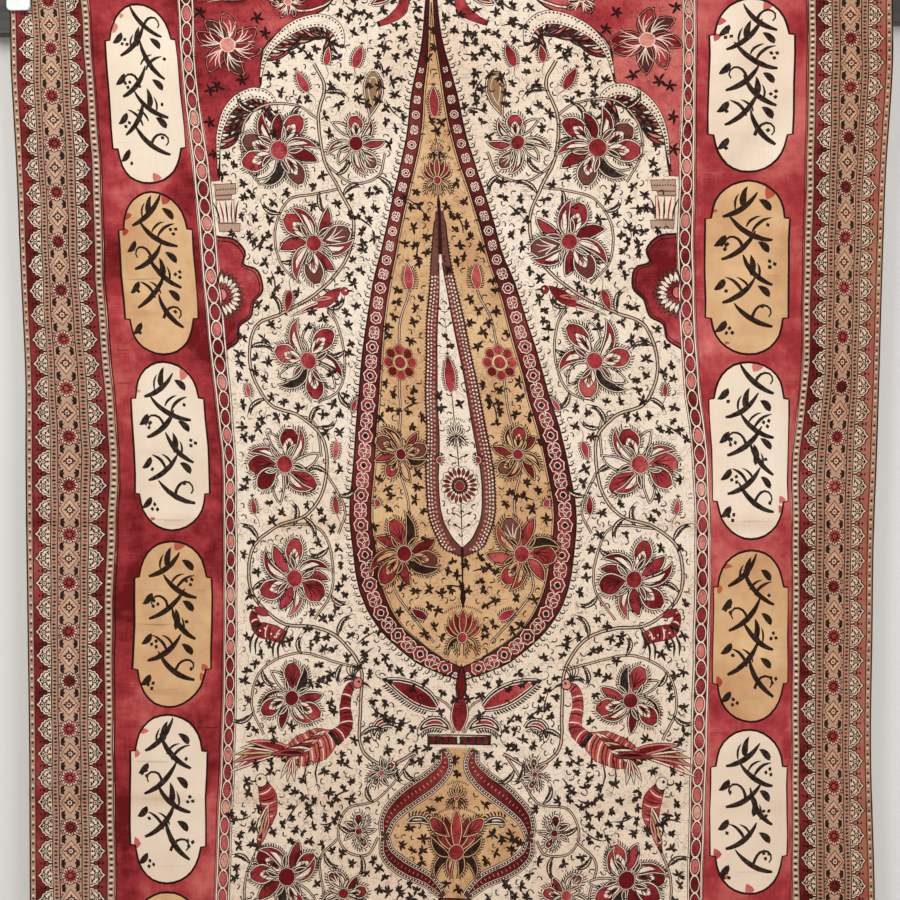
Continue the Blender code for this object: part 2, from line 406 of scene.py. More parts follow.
def rosette_block(spot, tall, kind, ground, dark):
    """A rosette or a star of leaves, the two blocks of the middle row."""
    reach = tall / 2 - 1.6
    if kind == 0:
        area(spot, ring(24, reach, 0.07, 8), INK)
        area(spot, ring(24, reach - 1.3, 0.08, 8), CREAM)
        for turn in range(8):
            blade(spot.at(0, 0, turn * math.pi / 4), np.array([3.6, 6.8, 11.0]) + 0j,
                  np.array([0.8, 2.3, 0.4]), dark)
        for turn in range(8):
            blade(spot.at(0, 0, (turn + 0.5) * math.pi / 4), np.array([4.4, reach - 1]) + 0j, 0.8, INK)
    else:
        area(spot, np.array([-15.5, -reach * 1j, 15.5, reach * 1j]), INK)
        area(spot, np.array([-14, -(reach - 1.2) * 1j, 14, (reach - 1.2) * 1j]), ground)
        for turn in range(8):
            length = 9.0 if turn % 2 == 0 else 6.4
            blade(spot.at(0, 0, turn * math.pi / 4), np.array([3.0, length * 0.6, length]) + 0j,
                  [0.5, 2.1, 0.0], INK if turn % 2 else DUSK)
    dot(spot, 0, 0, 4.8, INK, 10)
    dot(spot, 0, 0, 3.2, CREAM if kind else dark, 8)
    dot(spot, 0, 0, 1.7, dark, 6)
    for x in (-1, 1):
        for y in (-1, 1):
            dot(spot, x * 8.6, y * (reach - 0.6), 1.9, dark, 5)
            dot(spot, x * 12.0, y * (reach - 3.6), 1.9, CREAM if kind else INK, 5)
            dot(spot, x * 5.0, y * (reach + 0.4), 1.5, INK, 5)
            corner = spot.at(x * 16.7, y * (reach - 0.5), math.atan2(-y * 0.8, -x))
            blade(corner, np.array([0, 3.4, 8.6]) + 0j, [0.8, 2.7, 0.0], INK)
            blade(corner.at(0, 0, x * y * 0.75), np.array([0.5, 2.8, 6.8]) + 0j, [0.6, 2.0, 0.0], INK)


def stamp_border(spot, length, turn_row, outer_ground):
    """The whole border: the spot's x runs along the hem and its y runs in from it."""
    rows = BORDER_ROWS
    beads = (INK, INK, MADDER)
    guard_row(spot, length, rows[0] + 0.6, rows[1], GUARD_GREY, (CREAM, INK, PINK), 4.2)
    stripe(spot, 0, length, rows[0], rows[0] + 1.6, INK)
    stripe(spot, 0, length, rows[1], rows[2], outer_ground)
    guard_row(spot, length, rows[2], rows[3], GUARD_GREY, beads)
    stripe(spot, 0, length, rows[3], rows[4], (0.26, 0.12, 0.32))
    guard_row(spot, length, rows[4], rows[5], GUARD_GREY, beads)
    stripe(spot, 0, length, rows[5], rows[6], WORN_RED)
    guard_row(spot, length, rows[6], rows[7], GUARD_GREY, (CREAM, INK), 4.2)
    for step in range(int(round(length / BORDER_PITCH))):
        x = (step + 0.5) * BORDER_PITCH
        leaf_block(spot.at(x, rows[2], math.pi), 33.0, rows[2] - rows[1] - 1.5, MADDER)
        rosette_block(spot.at(x, (rows[3] + rows[4]) / 2), rows[4] - rows[3], (step + turn_row) % 2,
                      (0.0, 0.1, 0.5), MADDER)
        leaf_block(spot.at(x, rows[5]), 33.0, rows[6] - rows[5] - 1.0, MADDER)


CLOTH_LENGTH = CLOTH_TOP - CLOTH_FOOT
stamp_border(Spot(-HEM_AT, CLOTH_TOP, -math.pi / 2), CLOTH_LENGTH, 0, WORN_RED)
stamp_border(Spot(HEM_AT, CLOTH_FOOT, math.pi / 2), CLOTH_LENGTH, 1, (0.34, 0.46, 0.3))
stamp_border(Spot(-BAND_AT, CLOTH_FOOT), 2 * BAND_AT, 0, WORN_RED)


# --------------------------------------------------------------------------------------------------
# The red bands. A madder ground is brushed round a row of reserved cartouches, cream and buff in turn,
# each with a leafy spray drawn with a loaded brush. The same hand outlines them in black.

BAND_MIDDLE = 424.0
BAND_FOOT = FOOT_BORDER_TOP
BAND_PIECE = 47.24
CARTOUCHE_WIDTH = 112.0
CARTOUCHES = (
    # left top, left foot, right top, right foot
    (5, -248, 2, -238),
    (-257, -482, -247, -484),
    (-489, -722, -491, -732),
    (-734, -964, -744, -978),
    (-972, -1205, -986, -1211),
    (-1214, -1444, -1222, -1450),
)
RED_GROUNDS = {-1: (0.0, 0.84, 0.0), 1: (0.0, 0.72, 0.0)}


def cartouche_outline(width, tall):
    """A round-ended tablet with a square shoulder at each corner."""
    shoulder, lobe = width / 2, width / 2 - 9.0
    straight = tall / 2 - lobe * 1.02
    turn = np.linspace(0, math.pi, 15)
    cap = lobe * np.cos(turn) + 1j * (straight + lobe * 0.99 * np.sin(turn))
    step = np.array([shoulder + 1j * (straight - 4), lobe + 1.5 + 1j * (straight - 3)])
    top = np.concatenate([step, cap[1:-1], -step[::-1].conj()])
    sides = 1j * np.linspace(straight - 30, -straight + 30, 3) - shoulder
    upper = np.concatenate([top, sides])
    return np.concatenate([upper, -upper])


def brush_spray(spot, wide, tall, rng):
    """A climbing spray in thick and thin strokes: bent stalks, drop leaves, hooks and groups of dots."""
    rows = int(tall / 34)
    for row in range(rows):
        y = ((row + 0.5) / rows - 0.5) * tall * 0.76
        side = 1 if row % 2 else -1
        sway = rng.uniform(-4, 4)
        long = wide * rng.uniform(0.5, 0.64)
        rise = rng.uniform(0.05, 0.6)
        stalk = spot.at(-side * wide * 0.3, y - 6 + sway, rise if side > 0 else math.pi - rise)
        t = np.linspace(0, 1, 10)
        blade(stalk, arc(t, long, side * 0.9), 3.8 * np.sin(np.pi * (0.1 + 0.86 * t)) ** 0.7, INK)
        leaf = spot.at(side * wide * 0.26, y + 2 + sway, side * 1.9)
        nested(leaf, wide * 0.2, 9.5, side * 0.9, 0.8, [(0, INK)], 7)
        hook = spot.at(-side * wide * 0.05, y + 6 + sway, 1.5 + side * 0.3)
        if row % 3 == 0:
            curl(hook, wide * 0.42, side * 4.2, 4.6)
        elif row % 3 == 1:
            stroke(hook, arc(np.linspace(0, 1, 7), wide * 0.3, side * 1.1), 4.6)
            stroke(hook.at(4, -side * 10), arc(np.linspace(0, 1, 6), wide * 0.22, side * 1.1), 3.6)
        else:
            nested(hook, wide * 0.27, 9.0, -side * 0.8, 0.7, [(0, INK)], 7)
            stroke(hook.at(0, side * 11), arc(np.linspace(0, 1, 5), wide * 0.2, -side * 0.9), 3.4)
        blossom = spot.at(side * wide * rng.uniform(0.2, 0.3), y - 13 + sway, rng.uniform(0, 6))
        for turn in range(rng.choice((1, 3, 3))):
            dx, dy = 4.4 * math.cos(turn * 2.1), 4.4 * math.sin(turn * 2.1)
            area(blossom.at(dx, dy), np.array([-3.4, -3.0j, 3.4, 3.0j]), INK)


def paint_band(side, column):
    """One red band with its six cartouches. Column says which heights of the table it takes."""
    middle = side * BAND_MIDDLE
    for low in np.arange(BAND_FOOT, CLOTH_TOP - 1, BAND_PIECE):
        high = low + BAND_PIECE
        area(SHEET, [side * GUARD_AT + 1j * low, side * BAND_AT + 1j * low,
                     side * BAND_AT + 1j * high, side * GUARD_AT + 1j * high], RED_GROUNDS[side])
    for edge in (GUARD_AT + 2.2, BAND_AT - 1.6):
        stripe(Spot(side * edge, CLOTH_TOP, -math.pi / 2), 0, CLOTH_TOP - BAND_FOOT, -0.6, 0.6, INK)
    for number, heights in enumerate(CARTOUCHES):
        top, foot = heights[column], heights[column + 1]
        rng = random.Random(100 + number * 2 + column)
        spot = Spot(middle, (top + foot) / 2)
        tall = top - foot
        outline = cartouche_outline(CARTOUCHE_WIDTH, tall)
        area(spot, outline * (1 - 1.6 / CARTOUCHE_WIDTH), CREAM if number % 2 == 0 else TAN)
        for miss in range(3):
            corner = spot(outline[rng.randrange(4, len(outline) - 4)] * 0.95)
            blot = ring(9, rng.uniform(3.5, 7.5), 0.25, 3, rng.uniform(0.5, 1.6))
            area(Spot(corner.real, corner.imag), blot, (None, rng.uniform(0.5, 0.7), None))
        brush_spray(spot, CARTOUCHE_WIDTH, tall, rng)
        closed = np.append(outline, outline[0])
        stroke(spot, closed, 3.0, INK, taper=False)


paint_band(-1, 0)
paint_band(1, 2)

# --------------------------------------------------------------------------------------------------
# The inner guard. A chain of red drops in cream links runs between double lines, down both sides of the
# arched field and across its foot.

CHAIN_PITCH = 24.2


def chain_guard(spot, length):
    """The spot's x runs along the guard and its y from the outer to the inner edge."""
    stripe(spot, 0, length, 0, 22, CREAM)
    stripe(spot, 0, length, 3.6, 18.6, (0.3, 0.85, 0.0))
    for low in (0.2, 3.0, 18.2, 20.9):
        stripe(spot, 0, length, low, low + 1.1, INK)
    for step in range(int(round(length / CHAIN_PITCH))):
        link = spot.at((step + 0.5) * CHAIN_PITCH, 11.1)
        turn = np.arange(12) * math.pi / 6
        lens = 13.4 * np.cos(turn) * (1 - 0.16 * np.sin(turn) ** 2) + 7.2j * np.sin(turn)
        area(link, lens, CREAM)
        area(link, lens * 0.84, INK)
        area(link, lens * 0.7, PINK if step % 3 == 1 else MADDER)
        for end in (-1, 1):
            for across in (-1, 1):
                nook = link.at(end * CHAIN_PITCH / 2, across * 5.4)
                area(nook, np.array([-2.8, -1.5j * across, 2.8, 1.2j * across]), INK)


for side in (-1, 1):
    down = Spot(side * GUARD_AT, CLOTH_TOP, -math.pi / 2, 1, side > 0)
    chain_guard(down, CLOTH_TOP - BAND_FOOT)
chain_guard(Spot(-FIELD_AT, BAND_FOOT), 2 * FIELD_AT)

# --------------------------------------------------------------------------------------------------
# The flowers of the field. Each has an eye, a back row of broad fringed petals and a front row of curled
# ones, pen lines first, then madder brushed in, with a cream edge left bare inside every line.


def broad_petal(spot, length, width, bend, rng, ground=CREAM):
    """A full petal with a combed edge and a dark or red heart."""
    shade = rng.choice((MADDER, DEEP, MADDER, DUSK))
    nested(spot, length, width, bend, 1.25, [(0, INK), (1.0, ground), (2.0, INK), (2.8, shade)], 10)
    open_heart = rng.random() < 0.7
    if open_heart:
        nested(spot.at(length * 0.05, 0, bend * 0.08), length * 0.6, width * 0.56, bend * 0.6, 0.95,
               [(0, INK), (0.7, ground)], 8)
        nested(spot.at(length * 0.1, 0, bend * 0.1), length * 0.44, width * 0.2, bend * 0.5, 0.9,
               [(0, INK), (0.6, rng.choice((PINK, MADDER)))], 6)
    for lean in (-0.5, -0.17, 0.17, 0.5):
        vein = spot.at(length * 0.2, 0, lean * 0.6)
        pen = INK if open_heart or shade is not DUSK else CREAM
        stroke(vein, arc(np.linspace(0, 1, 4), length * (0.42 if open_heart else 0.56), bend + lean), 1.0,
               pen)
    t = np.linspace(0.22, 0.95, 9)
    half = width / 2 * np.sin(np.pi * t**1.25) ** 0.75
    for side in (-1, 1):
        path = arc(t, length, bend)
        along = np.gradient(path)
        edge = path + side * 1j * along / np.abs(along) * half
        comb(spot, edge, 6.0, 3.7, 0.5, 1.3, side, INK, 0.5)


def curled_petal(spot, length, width, bend, rng, ground=CREAM):
    """A narrow petal that hooks over, striped along its length."""
    shade = rng.choice((MADDER, DEEP, MADDER, INK))
    nested(spot, length, width, bend, 0.72, [(0, INK), (1.0, ground), (1.8, INK), (2.5, shade)], 10)
    if shade is not INK:
        nested(spot.at(length * 0.04, 0, bend * 0.06), length * 0.62, width * 0.5, bend * 0.62, 0.8,
               [(0, INK), (0.6, ground)], 8)
    stroke(spot.at(length * 0.1, 0), arc(np.linspace(0, 1, 6), length * 0.62, bend * 0.7), 0.8, INK)
    t = np.linspace(0.3, 0.9, 6)
    path = arc(t, length, bend)
    along = np.gradient(path)
    outer = -1 if bend > 0 else 1
    edge = path + outer * 1j * along / np.abs(along) * width / 2 * np.sin(np.pi * t**0.72) ** 0.75
    comb(spot, edge, 5.0, 3.7, 0.5, 1.3, outer)


def leafy_petal(spot, length, width, bend, rng, ground=CREAM):
    """A pointed petal, outlined twice, with a red, deep red or bare heart."""
    nested(spot, length, width, bend, 0.9, [(0, INK), (1.0, ground), (1.8, INK),
                                            (2.9, rng.choice((MADDER, DEEP, ground)))], 9)


def eye(spot, radius, rng):
    dot(spot, 0, 0, radius, INK, 12)
    dot(spot, 0, 0, radius - 0.8, CREAM, 12)
    dot(spot, 0, 0, radius - 1.5, rng.choice((MADDER, DEEP, MADDER)), 12)
    for turn in range(5):
        stroke(spot.at(0, 0, turn * 1.257 + 0.3), [radius * 0.75, radius * 0.45], 0.8, INK)


def flower(spot, radius, seed, petals=9, ground=CREAM):
    rng = random.Random(seed)
    core = radius * rng.uniform(0.18, 0.23)
    hand = rng.choice((-1, 1))
    for number in range(petals):
        turn = (number + rng.uniform(-0.16, 0.16)) * 2 * math.pi / petals
        seat = spot.at(core * 0.8 * math.cos(turn), core * 0.8 * math.sin(turn), turn)
        length = radius * rng.uniform(0.8, 0.95)
        kind = (number + seed) % 3
        if kind == 0:
            broad_petal(seat, length, radius * rng.uniform(0.54, 0.62), hand * rng.uniform(0.2, 0.6), rng,
                        ground)
        elif kind == 1:
            curled_petal(seat, length * 1.15, radius * rng.uniform(0.3, 0.36),
                         hand * rng.uniform(1.1, 1.8), rng, ground)
        else:
            leafy_petal(seat, length * 0.95, radius * rng.uniform(0.34, 0.42),
                        hand * rng.uniform(0.3, 0.8), rng, ground)
    for number in range(petals // 2):
        turn = (number + 0.5) * 4 * math.pi / petals
        seat = spot.at(core * 0.8 * math.cos(turn), core * 0.8 * math.sin(turn), turn)
        leafy_petal(seat, radius * 0.48, radius * 0.17, -hand * 0.6, rng, ground)
    eye(spot, core * 1.15, rng)


def palmette(spot, reach, seed, ground=CREAM):
    """A flower seen from the side: a tall fan over two pairs of curled petals and a round heart."""
    rng = random.Random(seed)
    for lean in (-1.25, 1.25, -0.82, 0.82, -0.42, 0.42, 0.0):
        shade = DEEP if abs(lean) in (0.42, 1.25) else MADDER
        nested(spot.at(0, 0, math.pi / 2 + lean), reach * (1.0 - 0.18 * abs(lean)), reach * 0.32,
               -lean * 0.45, 1.1,
               [(0, INK), (0.8, ground), (1.8, INK), (2.4, shade)], 8)
    for side in (-1, 1):
        curled_petal(spot.at(side * 2, 0, math.pi / 2 - side * 1.75), reach * 0.86, reach * 0.26,
                     side * -1.6, rng, ground)
        curled_petal(spot.at(side * 2, -2, math.pi / 2 - side * 2.4), reach * 0.62, reach * 0.22,
                     side * -1.5, rng, ground)
    crown = reach * 0.98 * np.exp(1j * np.linspace(math.pi * 0.72, math.pi * 0.28, 9))
    comb(spot, crown, 4.0, 2.8, 0.0, 1.0, 1)
    eye(spot, reach * 0.2, rng)


def rosette(spot, radius, petals=8, ground=CREAM):
    """A round garden flower of lobed petals."""
    for number in range(petals):
        turn = number * 2 * math.pi / petals
        petal = spot.at(radius * 0.66 * math.cos(turn), radius * 0.66 * math.sin(turn), turn)
        area(petal, ring(10, radius * 0.31), INK)
        area(petal, ring(10, radius * 0.31 - 0.8), ground)
        area(petal, ring(9, radius * 0.31 - 1.6), DEEP if number % 2 else MADDER)
        stroke(petal, [-radius * 0.2, radius * 0.16], 0.8, INK)
    area(spot, ring(14, radius * 0.46), INK)
    area(spot, ring(14, radius * 0.46 - 0.9), ground)
    area(spot, ring(12, radius * 0.3), INK)
    area(spot, ring(12, radius * 0.3 - 0.8), MADDER)


def bud(spot, length, width, shade=MADDER, combed=True):
    """A red bud on its stalk: the spot's x runs from the stalk to the tip."""
    nested(spot, length, width, 0.0, 0.78, [(0, INK), (0.9, CREAM), (1.4, shade)], 10)
    if combed:
        t = np.linspace(0.06, 0.8, 8)
        half = width / 2 * np.sin(np.pi * t**0.78) ** 0.75
        for side in (-1, 1):
            comb(spot, t * length + side * 1j * half, 4.2, 3.4, 0.6, 1.2, side)
    for lean in (-0.7, -0.25, 0.25, 0.7):
        stroke(spot.at(length * 0.97, 0, lean), arc([0, 0.5, 1], 5.0, lean), 1.0)


def sprig(spot, rng, size=1.0, dye=INK):
    """A tuft of pointed leaves on a hair of a stalk, which fills a gap."""
    reach = size * rng.uniform(5.0, 7.0)
    bend = rng.choice((-1, 1)) * rng.uniform(0.5, 1.4)
    stroke(spot, arc([0, 0.5, 1.0], reach, bend), 1.4, dye)
    top = complex(arc(1.0, reach, bend))
    for number in range(rng.choice((4, 5, 5))):
        turn = bend + (number - 2) * 0.95 + rng.uniform(-0.2, 0.2)
        leaf = spot.at(top.real, top.imag, turn)
        blade(leaf, arc([0, 0.35, 0.7, 1.0], size * rng.uniform(7.5, 11.0), rng.uniform(-1.2, 1.2)),
              [0.6, 2.0, 1.5, 0.0], dye)


def combed_leaf(spot, length, bend, side, dye=INK):
    """A bent leaf with a tooth for every vein and a hook at its tip."""
    path = arc(np.linspace(0, 1, 9), length, bend)
    t = np.linspace(0, 1, 9)
    blade(spot, path, 2.9 * np.sin(np.pi * t**0.8) ** 0.8 + 0.3, dye)
    blade(spot, path[1:-2], 0.9 * np.sin(np.pi * t[1:-2]), CREAM)
    comb(spot, path[1:-1], 8.0, 4.0, 0.55, 1.5, side, dye)
    tip = complex(path[-1])
    curl(spot.at(tip.real, tip.imag, bend), length * 0.3, side * 3.2, 1.1, dye)


def stem(spot, path, width=3.0, dye=INK):
    """A double line: two pen strokes with bare cloth between."""
    half = width / 2
    blade(spot, path, half, dye)
    blade(spot, path, half * 0.36, (0.12, 0.1, 0.25))


# --------------------------------------------------------------------------------------------------
# The cypress drop in the middle of the field: a buff ground in a guard of dark half rosettes with a
# fringe of curls, round a narrow cream drop that has a dotted guard of its own. Vines and flowers fill
# both, a mirror pair at a time.

DROP = (
    # height, outer half width, buff half width
    (40, 5, 2),
    (1, 7, 3),
    (-67, 16, 7),
    (-135, 32, 15),
    (-203, 45, 26),
    (-271, 66, 47),
    (-339, 84, 64),
    (-407, 107, 83),
    (-543, 138, 109),
    (-679, 160, 130),
    (-761, 156, 124),
    (-815, 143, 110),
    (-856, 118, 84),
    (-893, 76, 32),
    (-908, 48, 0),
    (-926, 0, 0),
)
CORE = ((-285, 6, 0), (-340, 12, 1), (-407, 22, 7), (-475, 32, 16), (-543, 39, 22), (-611, 46, 27),
        (-660, 49, 31),
        (-700, 48, 29), (-730, 36, 15), (-745, 26, 0), (-757, 0, 0))


def drop_side(table, column, steps=4):
    """One side of a drop as a smooth line, from its tip to where its half width comes to nothing."""
    start = next(i for i, row in enumerate(table) if row[column] > 0)
    rows = []
    for row in table[start:]:
        rows.append(complex(row[column], row[0]))
        if row[column] == 0:
            break
    return through(rows, steps)


def closed_drop(table, column):
    side = drop_side(table, column)
    return np.concatenate([side, -side[-2::-1].conj()])


drop_outer = drop_side(DROP, 1)
drop_inner = drop_side(DROP, 2)
core_outer = drop_side(CORE, 1)
core_inner = drop_side(CORE, 2)

area(SHEET, closed_drop(DROP, 1), (0.6, 0.9, 0.2))
area(SHEET, closed_drop(DROP, 2), TAN)

for side in SIDES:
    middle_line = drop_side([(height, (outer + inner) / 2) for height, outer, inner in DROP], 1)
    for number, (place, heading) in enumerate(walk(middle_line[9:], 20.5)):
        gap = np.interp(-place.imag, [-row[0] for row in DROP], [row[1] - row[2] for row in DROP])
        size = min(max(gap, 8.0), 30.0) / 2
        cell = side.at(place.real, place.imag, heading)
        if number % 2:
            area(cell, ring(14, size * 0.8, 0.06, 7), INK)
            area(cell, ring(14, size * 0.8 - 1.3, 0.07, 7), CREAM)
            area(cell, ring(14, size * 0.8 - 2.6, 0.07, 7), MADDER)
            for turn in range(7):
                stroke(cell.at(0, 0, turn * 0.9), [size * 0.3, size * 0.66], 1.1)
            area(cell, ring(9, size * 0.34, 0.1, 5), CREAM)
            area(cell, ring(9, size * 0.34 - 1.1, 0.1, 5), INK)
        else:
            for lean in (-1, 1):
                shell = cell.at(0, lean * size * 0.62, -lean * math.pi / 2)
                for turn in (-0.9, 0.0, 0.9):
                    nested(shell.at(0, 0, turn), size * 0.95, size * 0.62, 0, 1.1,
                           [(0, INK), (0.6, CREAM), (1.4, MADDER)], 6)
    stroke(side, drop_outer, 1.5, INK, taper=False)
    stroke(side, drop_inner[2:], 1.3, INK, taper=False)
    stroke(side, drop_inner[4:-4] - 3.0, 0.7, INK, taper=False)
    for number, (place, heading) in enumerate(walk(drop_outer[6:], 11.2)):
        root = side.at(place.real, place.imag, heading + 1.35)
        curl(root.at(1.5, 0), 14.0, 5.2, 2.3)
        dot(root, 10.5, -3.8, 1.3, INK, 4)

area(SHEET, closed_drop(CORE, 1), DUSK)
for side in SIDES:
    for offset, pitch, radius in ((3.0, 5.4, 1.6), (7.5, 5.0, 1.5), (12.0, 6.6, 2.0)):
        for place, _ in walk(core_outer[6:-3] - offset, pitch):
            if place.real > 1.5:
                dot(side, place.real, place.imag, radius, PINK if offset > 9 else CREAM, 5)
area(SHEET, closed_drop(CORE, 2), CREAM)
for side in SIDES:
    stroke(side, core_outer[1:], 1.1, INK, taper=False)
    stroke(side, core_inner[1:], 1.1, INK, taper=False)
    comb(side, core_outer[3:], 3.4, 4.6, 0.6, 1.1, 1, INK)
blade(SHEET, 1j * np.array([-150, -262, -275, -300, -345]), [0.5, 0.8, 2.6, 2.2, 3.2], (1.0, 0.6, None))
blade(SHEET, 1j * np.array([-745, -790, -812, -826]), [2.0, 1.2, 4.6, 0.4], (1.0, 0.8, None))
for height in range(-280, -340, -9):
    for side in (-1, 1):
        dot(SHEET, side * 4.6, height, 1.5, (0.9, 0.7, None), 4)

# In the cream core: a bud, a small flower, a wheel of petals and a leafy foot.
stroke(SHEET, [-745j, -700j, -560j, -400j], 1.1)
bud(Spot(-1, -535, math.pi / 2), 56, 19)
palmette(Spot(0, -592), 22, 21)
area(SHEET, ring(30, 27, 0.06, 15) - 659j, INK)
area(SHEET, ring(30, 26, 0.07, 15) - 659j, CREAM)
for number in range(20):
    petal = Spot(0, -659, number * math.pi / 10)
    nested(petal.at(13, 0), 12.5, 5.4, 0.2, 1.0, [(0, INK), (0.9, DEEP if number % 2 else MADDER)], 5)
    nested(petal.at(6, 0), 7.5, 3.6, 0, 1.0, [(0, DEEP if number % 2 else INK)], 5)
area(SHEET, ring(12, 6.6) - 659j, INK)
area(SHEET, ring(10, 5.4) - 659j, MADDER)
for height, reach in ((-700, 15), (-716, 11), (-420, 6), (-440, 8), (-620, 13)):
    for side in SIDES:
        stroke(side.at(0, height - 4, 0.9), arc(np.linspace(0, 1, 5), reach, -0.8), 0.9)
        blade(side.at(reach * 0.6, height, 0.8), arc([0, 0.5, 1], 8, -0.5), [0.3, 1.8, 0], (1, 0.5, None))

# On the buff ground: a stem of flowers each side, and palmettes on the middle line.
bud(Spot(0, -160, math.pi / 2), 46, 17, MADDER)
palmette(Spot(0, -243), 34, 22, TAN)
palmette(Spot(0, -205), 15, 23, TAN)
palmette(Spot(0, -866), 42, 24, TAN)
DROP_VINE = ((40, -873), (75, -835), (100, -795), (88, -750), (76, -690), (86, -640), (88, -615),
             (78, -560),
             (74, -500), (66, -440), (50, -400), (49, -378))
for number, side in enumerate(SIDES):
    rng = random.Random(40 + number)
    stem(side, through(DROP_VINE, 7), 3.8)
    bud(side.at(49, -395, math.pi / 2), 42, 17)
    comb(side, through([(40, -392), (38, -380), (41, -362)]), 4, 3, 0, 1.2, 1)
    rosette(side.at(72, -492), 26, 8, TAN)
    flower(side.at(84, -617), 42, 31 + number, 8, TAN)
    flower(side.at(84, -752), 52, 33 + number, 9, TAN)
    bud(side.at(50, -842, 0.5), 30, 15)
    bud(side.at(118, -690, 1.2), 16, 12)
    bud(side.at(30, -630, 2.0), 14, 11)

# --------------------------------------------------------------------------------------------------
# The arch. Madder spandrels with outlined flowers fill the upper corners behind combed leaves, over a
# small capital and a lobed red half medallion on each side.

SPANDREL = ((-118, 27), (-150, -8), (-196, -28), (-232, -62), (-237, -112), (-262, -128), (-292, -152),
            (-306, -190),
            (-314, -242))


def acanthus(spot, points, thick, reach, hooks_at, seed):
    """A bent feather leaf with a beaded spine and rows of hooks under it."""
    rng = random.Random(seed)
    spine = through(points, 5)
    t = np.linspace(0, 1, len(spine))
    for row, share in ((0, 1.0), (1, 0.68), (2, 0.4)):
        for number, (place, heading) in enumerate(walk(spine[3 + row : -2], 10.5)):
            hook = spot.at(place.real, place.imag, heading + hooks_at * (1.35 + 0.2 * row))
            long = reach * share * rng.uniform(0.9, 1.15)
            body = arc(np.linspace(0, 1, 8), long, -hooks_at * 1.3)
            blade(hook, body, 3.8 * np.sin(np.pi * np.linspace(0.1, 1, 8)) ** 0.7, INK)
            blade(hook, body[1:-2], 1.7 * np.sin(np.pi * np.linspace(0.1, 1, 5)),
                  (MADDER, PINK, CREAM)[(number + row) % 3])
    half = thick / 2 * np.sin(np.pi * (0.06 + 0.9 * t) ** 1.5) ** 0.7
    blade(spot, spine, half, INK)
    blade(spot, spine[1:-1], np.maximum(half[1:-1] - 1.1, 0.1), CREAM)
    along = np.gradient(spine)
    for edge in (-1, 1):
        for place, _ in walk((spine + edge * 1j * along / np.abs(along) * np.maximum(half - 3.6,
                                                                                     0.2))[2:-2], 5.0):
            dot(spot, place.real, place.imag, 1.5, INK, 5)


def spandrel_flower(spot, radius, seed):
    """A large flower drawn in cream and black lines on the madder."""
    rng = random.Random(seed)
    for number in range(7):
        petal = spot.at(0, 0, number * math.pi / 3.5 + rng.uniform(-0.12, 0.12))
        bend = rng.choice((-1, 1)) * rng.uniform(0.4, 1.0)
        heart = (DEEP, MADDER, (0.9, 0.6, None))[number % 3]
        nested(petal, radius, radius * 0.5, bend, 1.0, [(0, INK), (1.3, PINK), (1.9, INK), (2.9, heart)], 9)
        for lean in (-0.5, -0.15, 0.2, 0.5):
            stroke(petal.at(radius * 0.2, 0, lean * 0.5),
                   arc(np.linspace(0, 1, 4), radius * 0.55, bend + lean), 0.9, CREAM)
    dot(spot, 0, 0, radius * 0.22, CREAM, 10)
    dot(spot, 0, 0, radius * 0.22 - 1.2, PINK, 10)


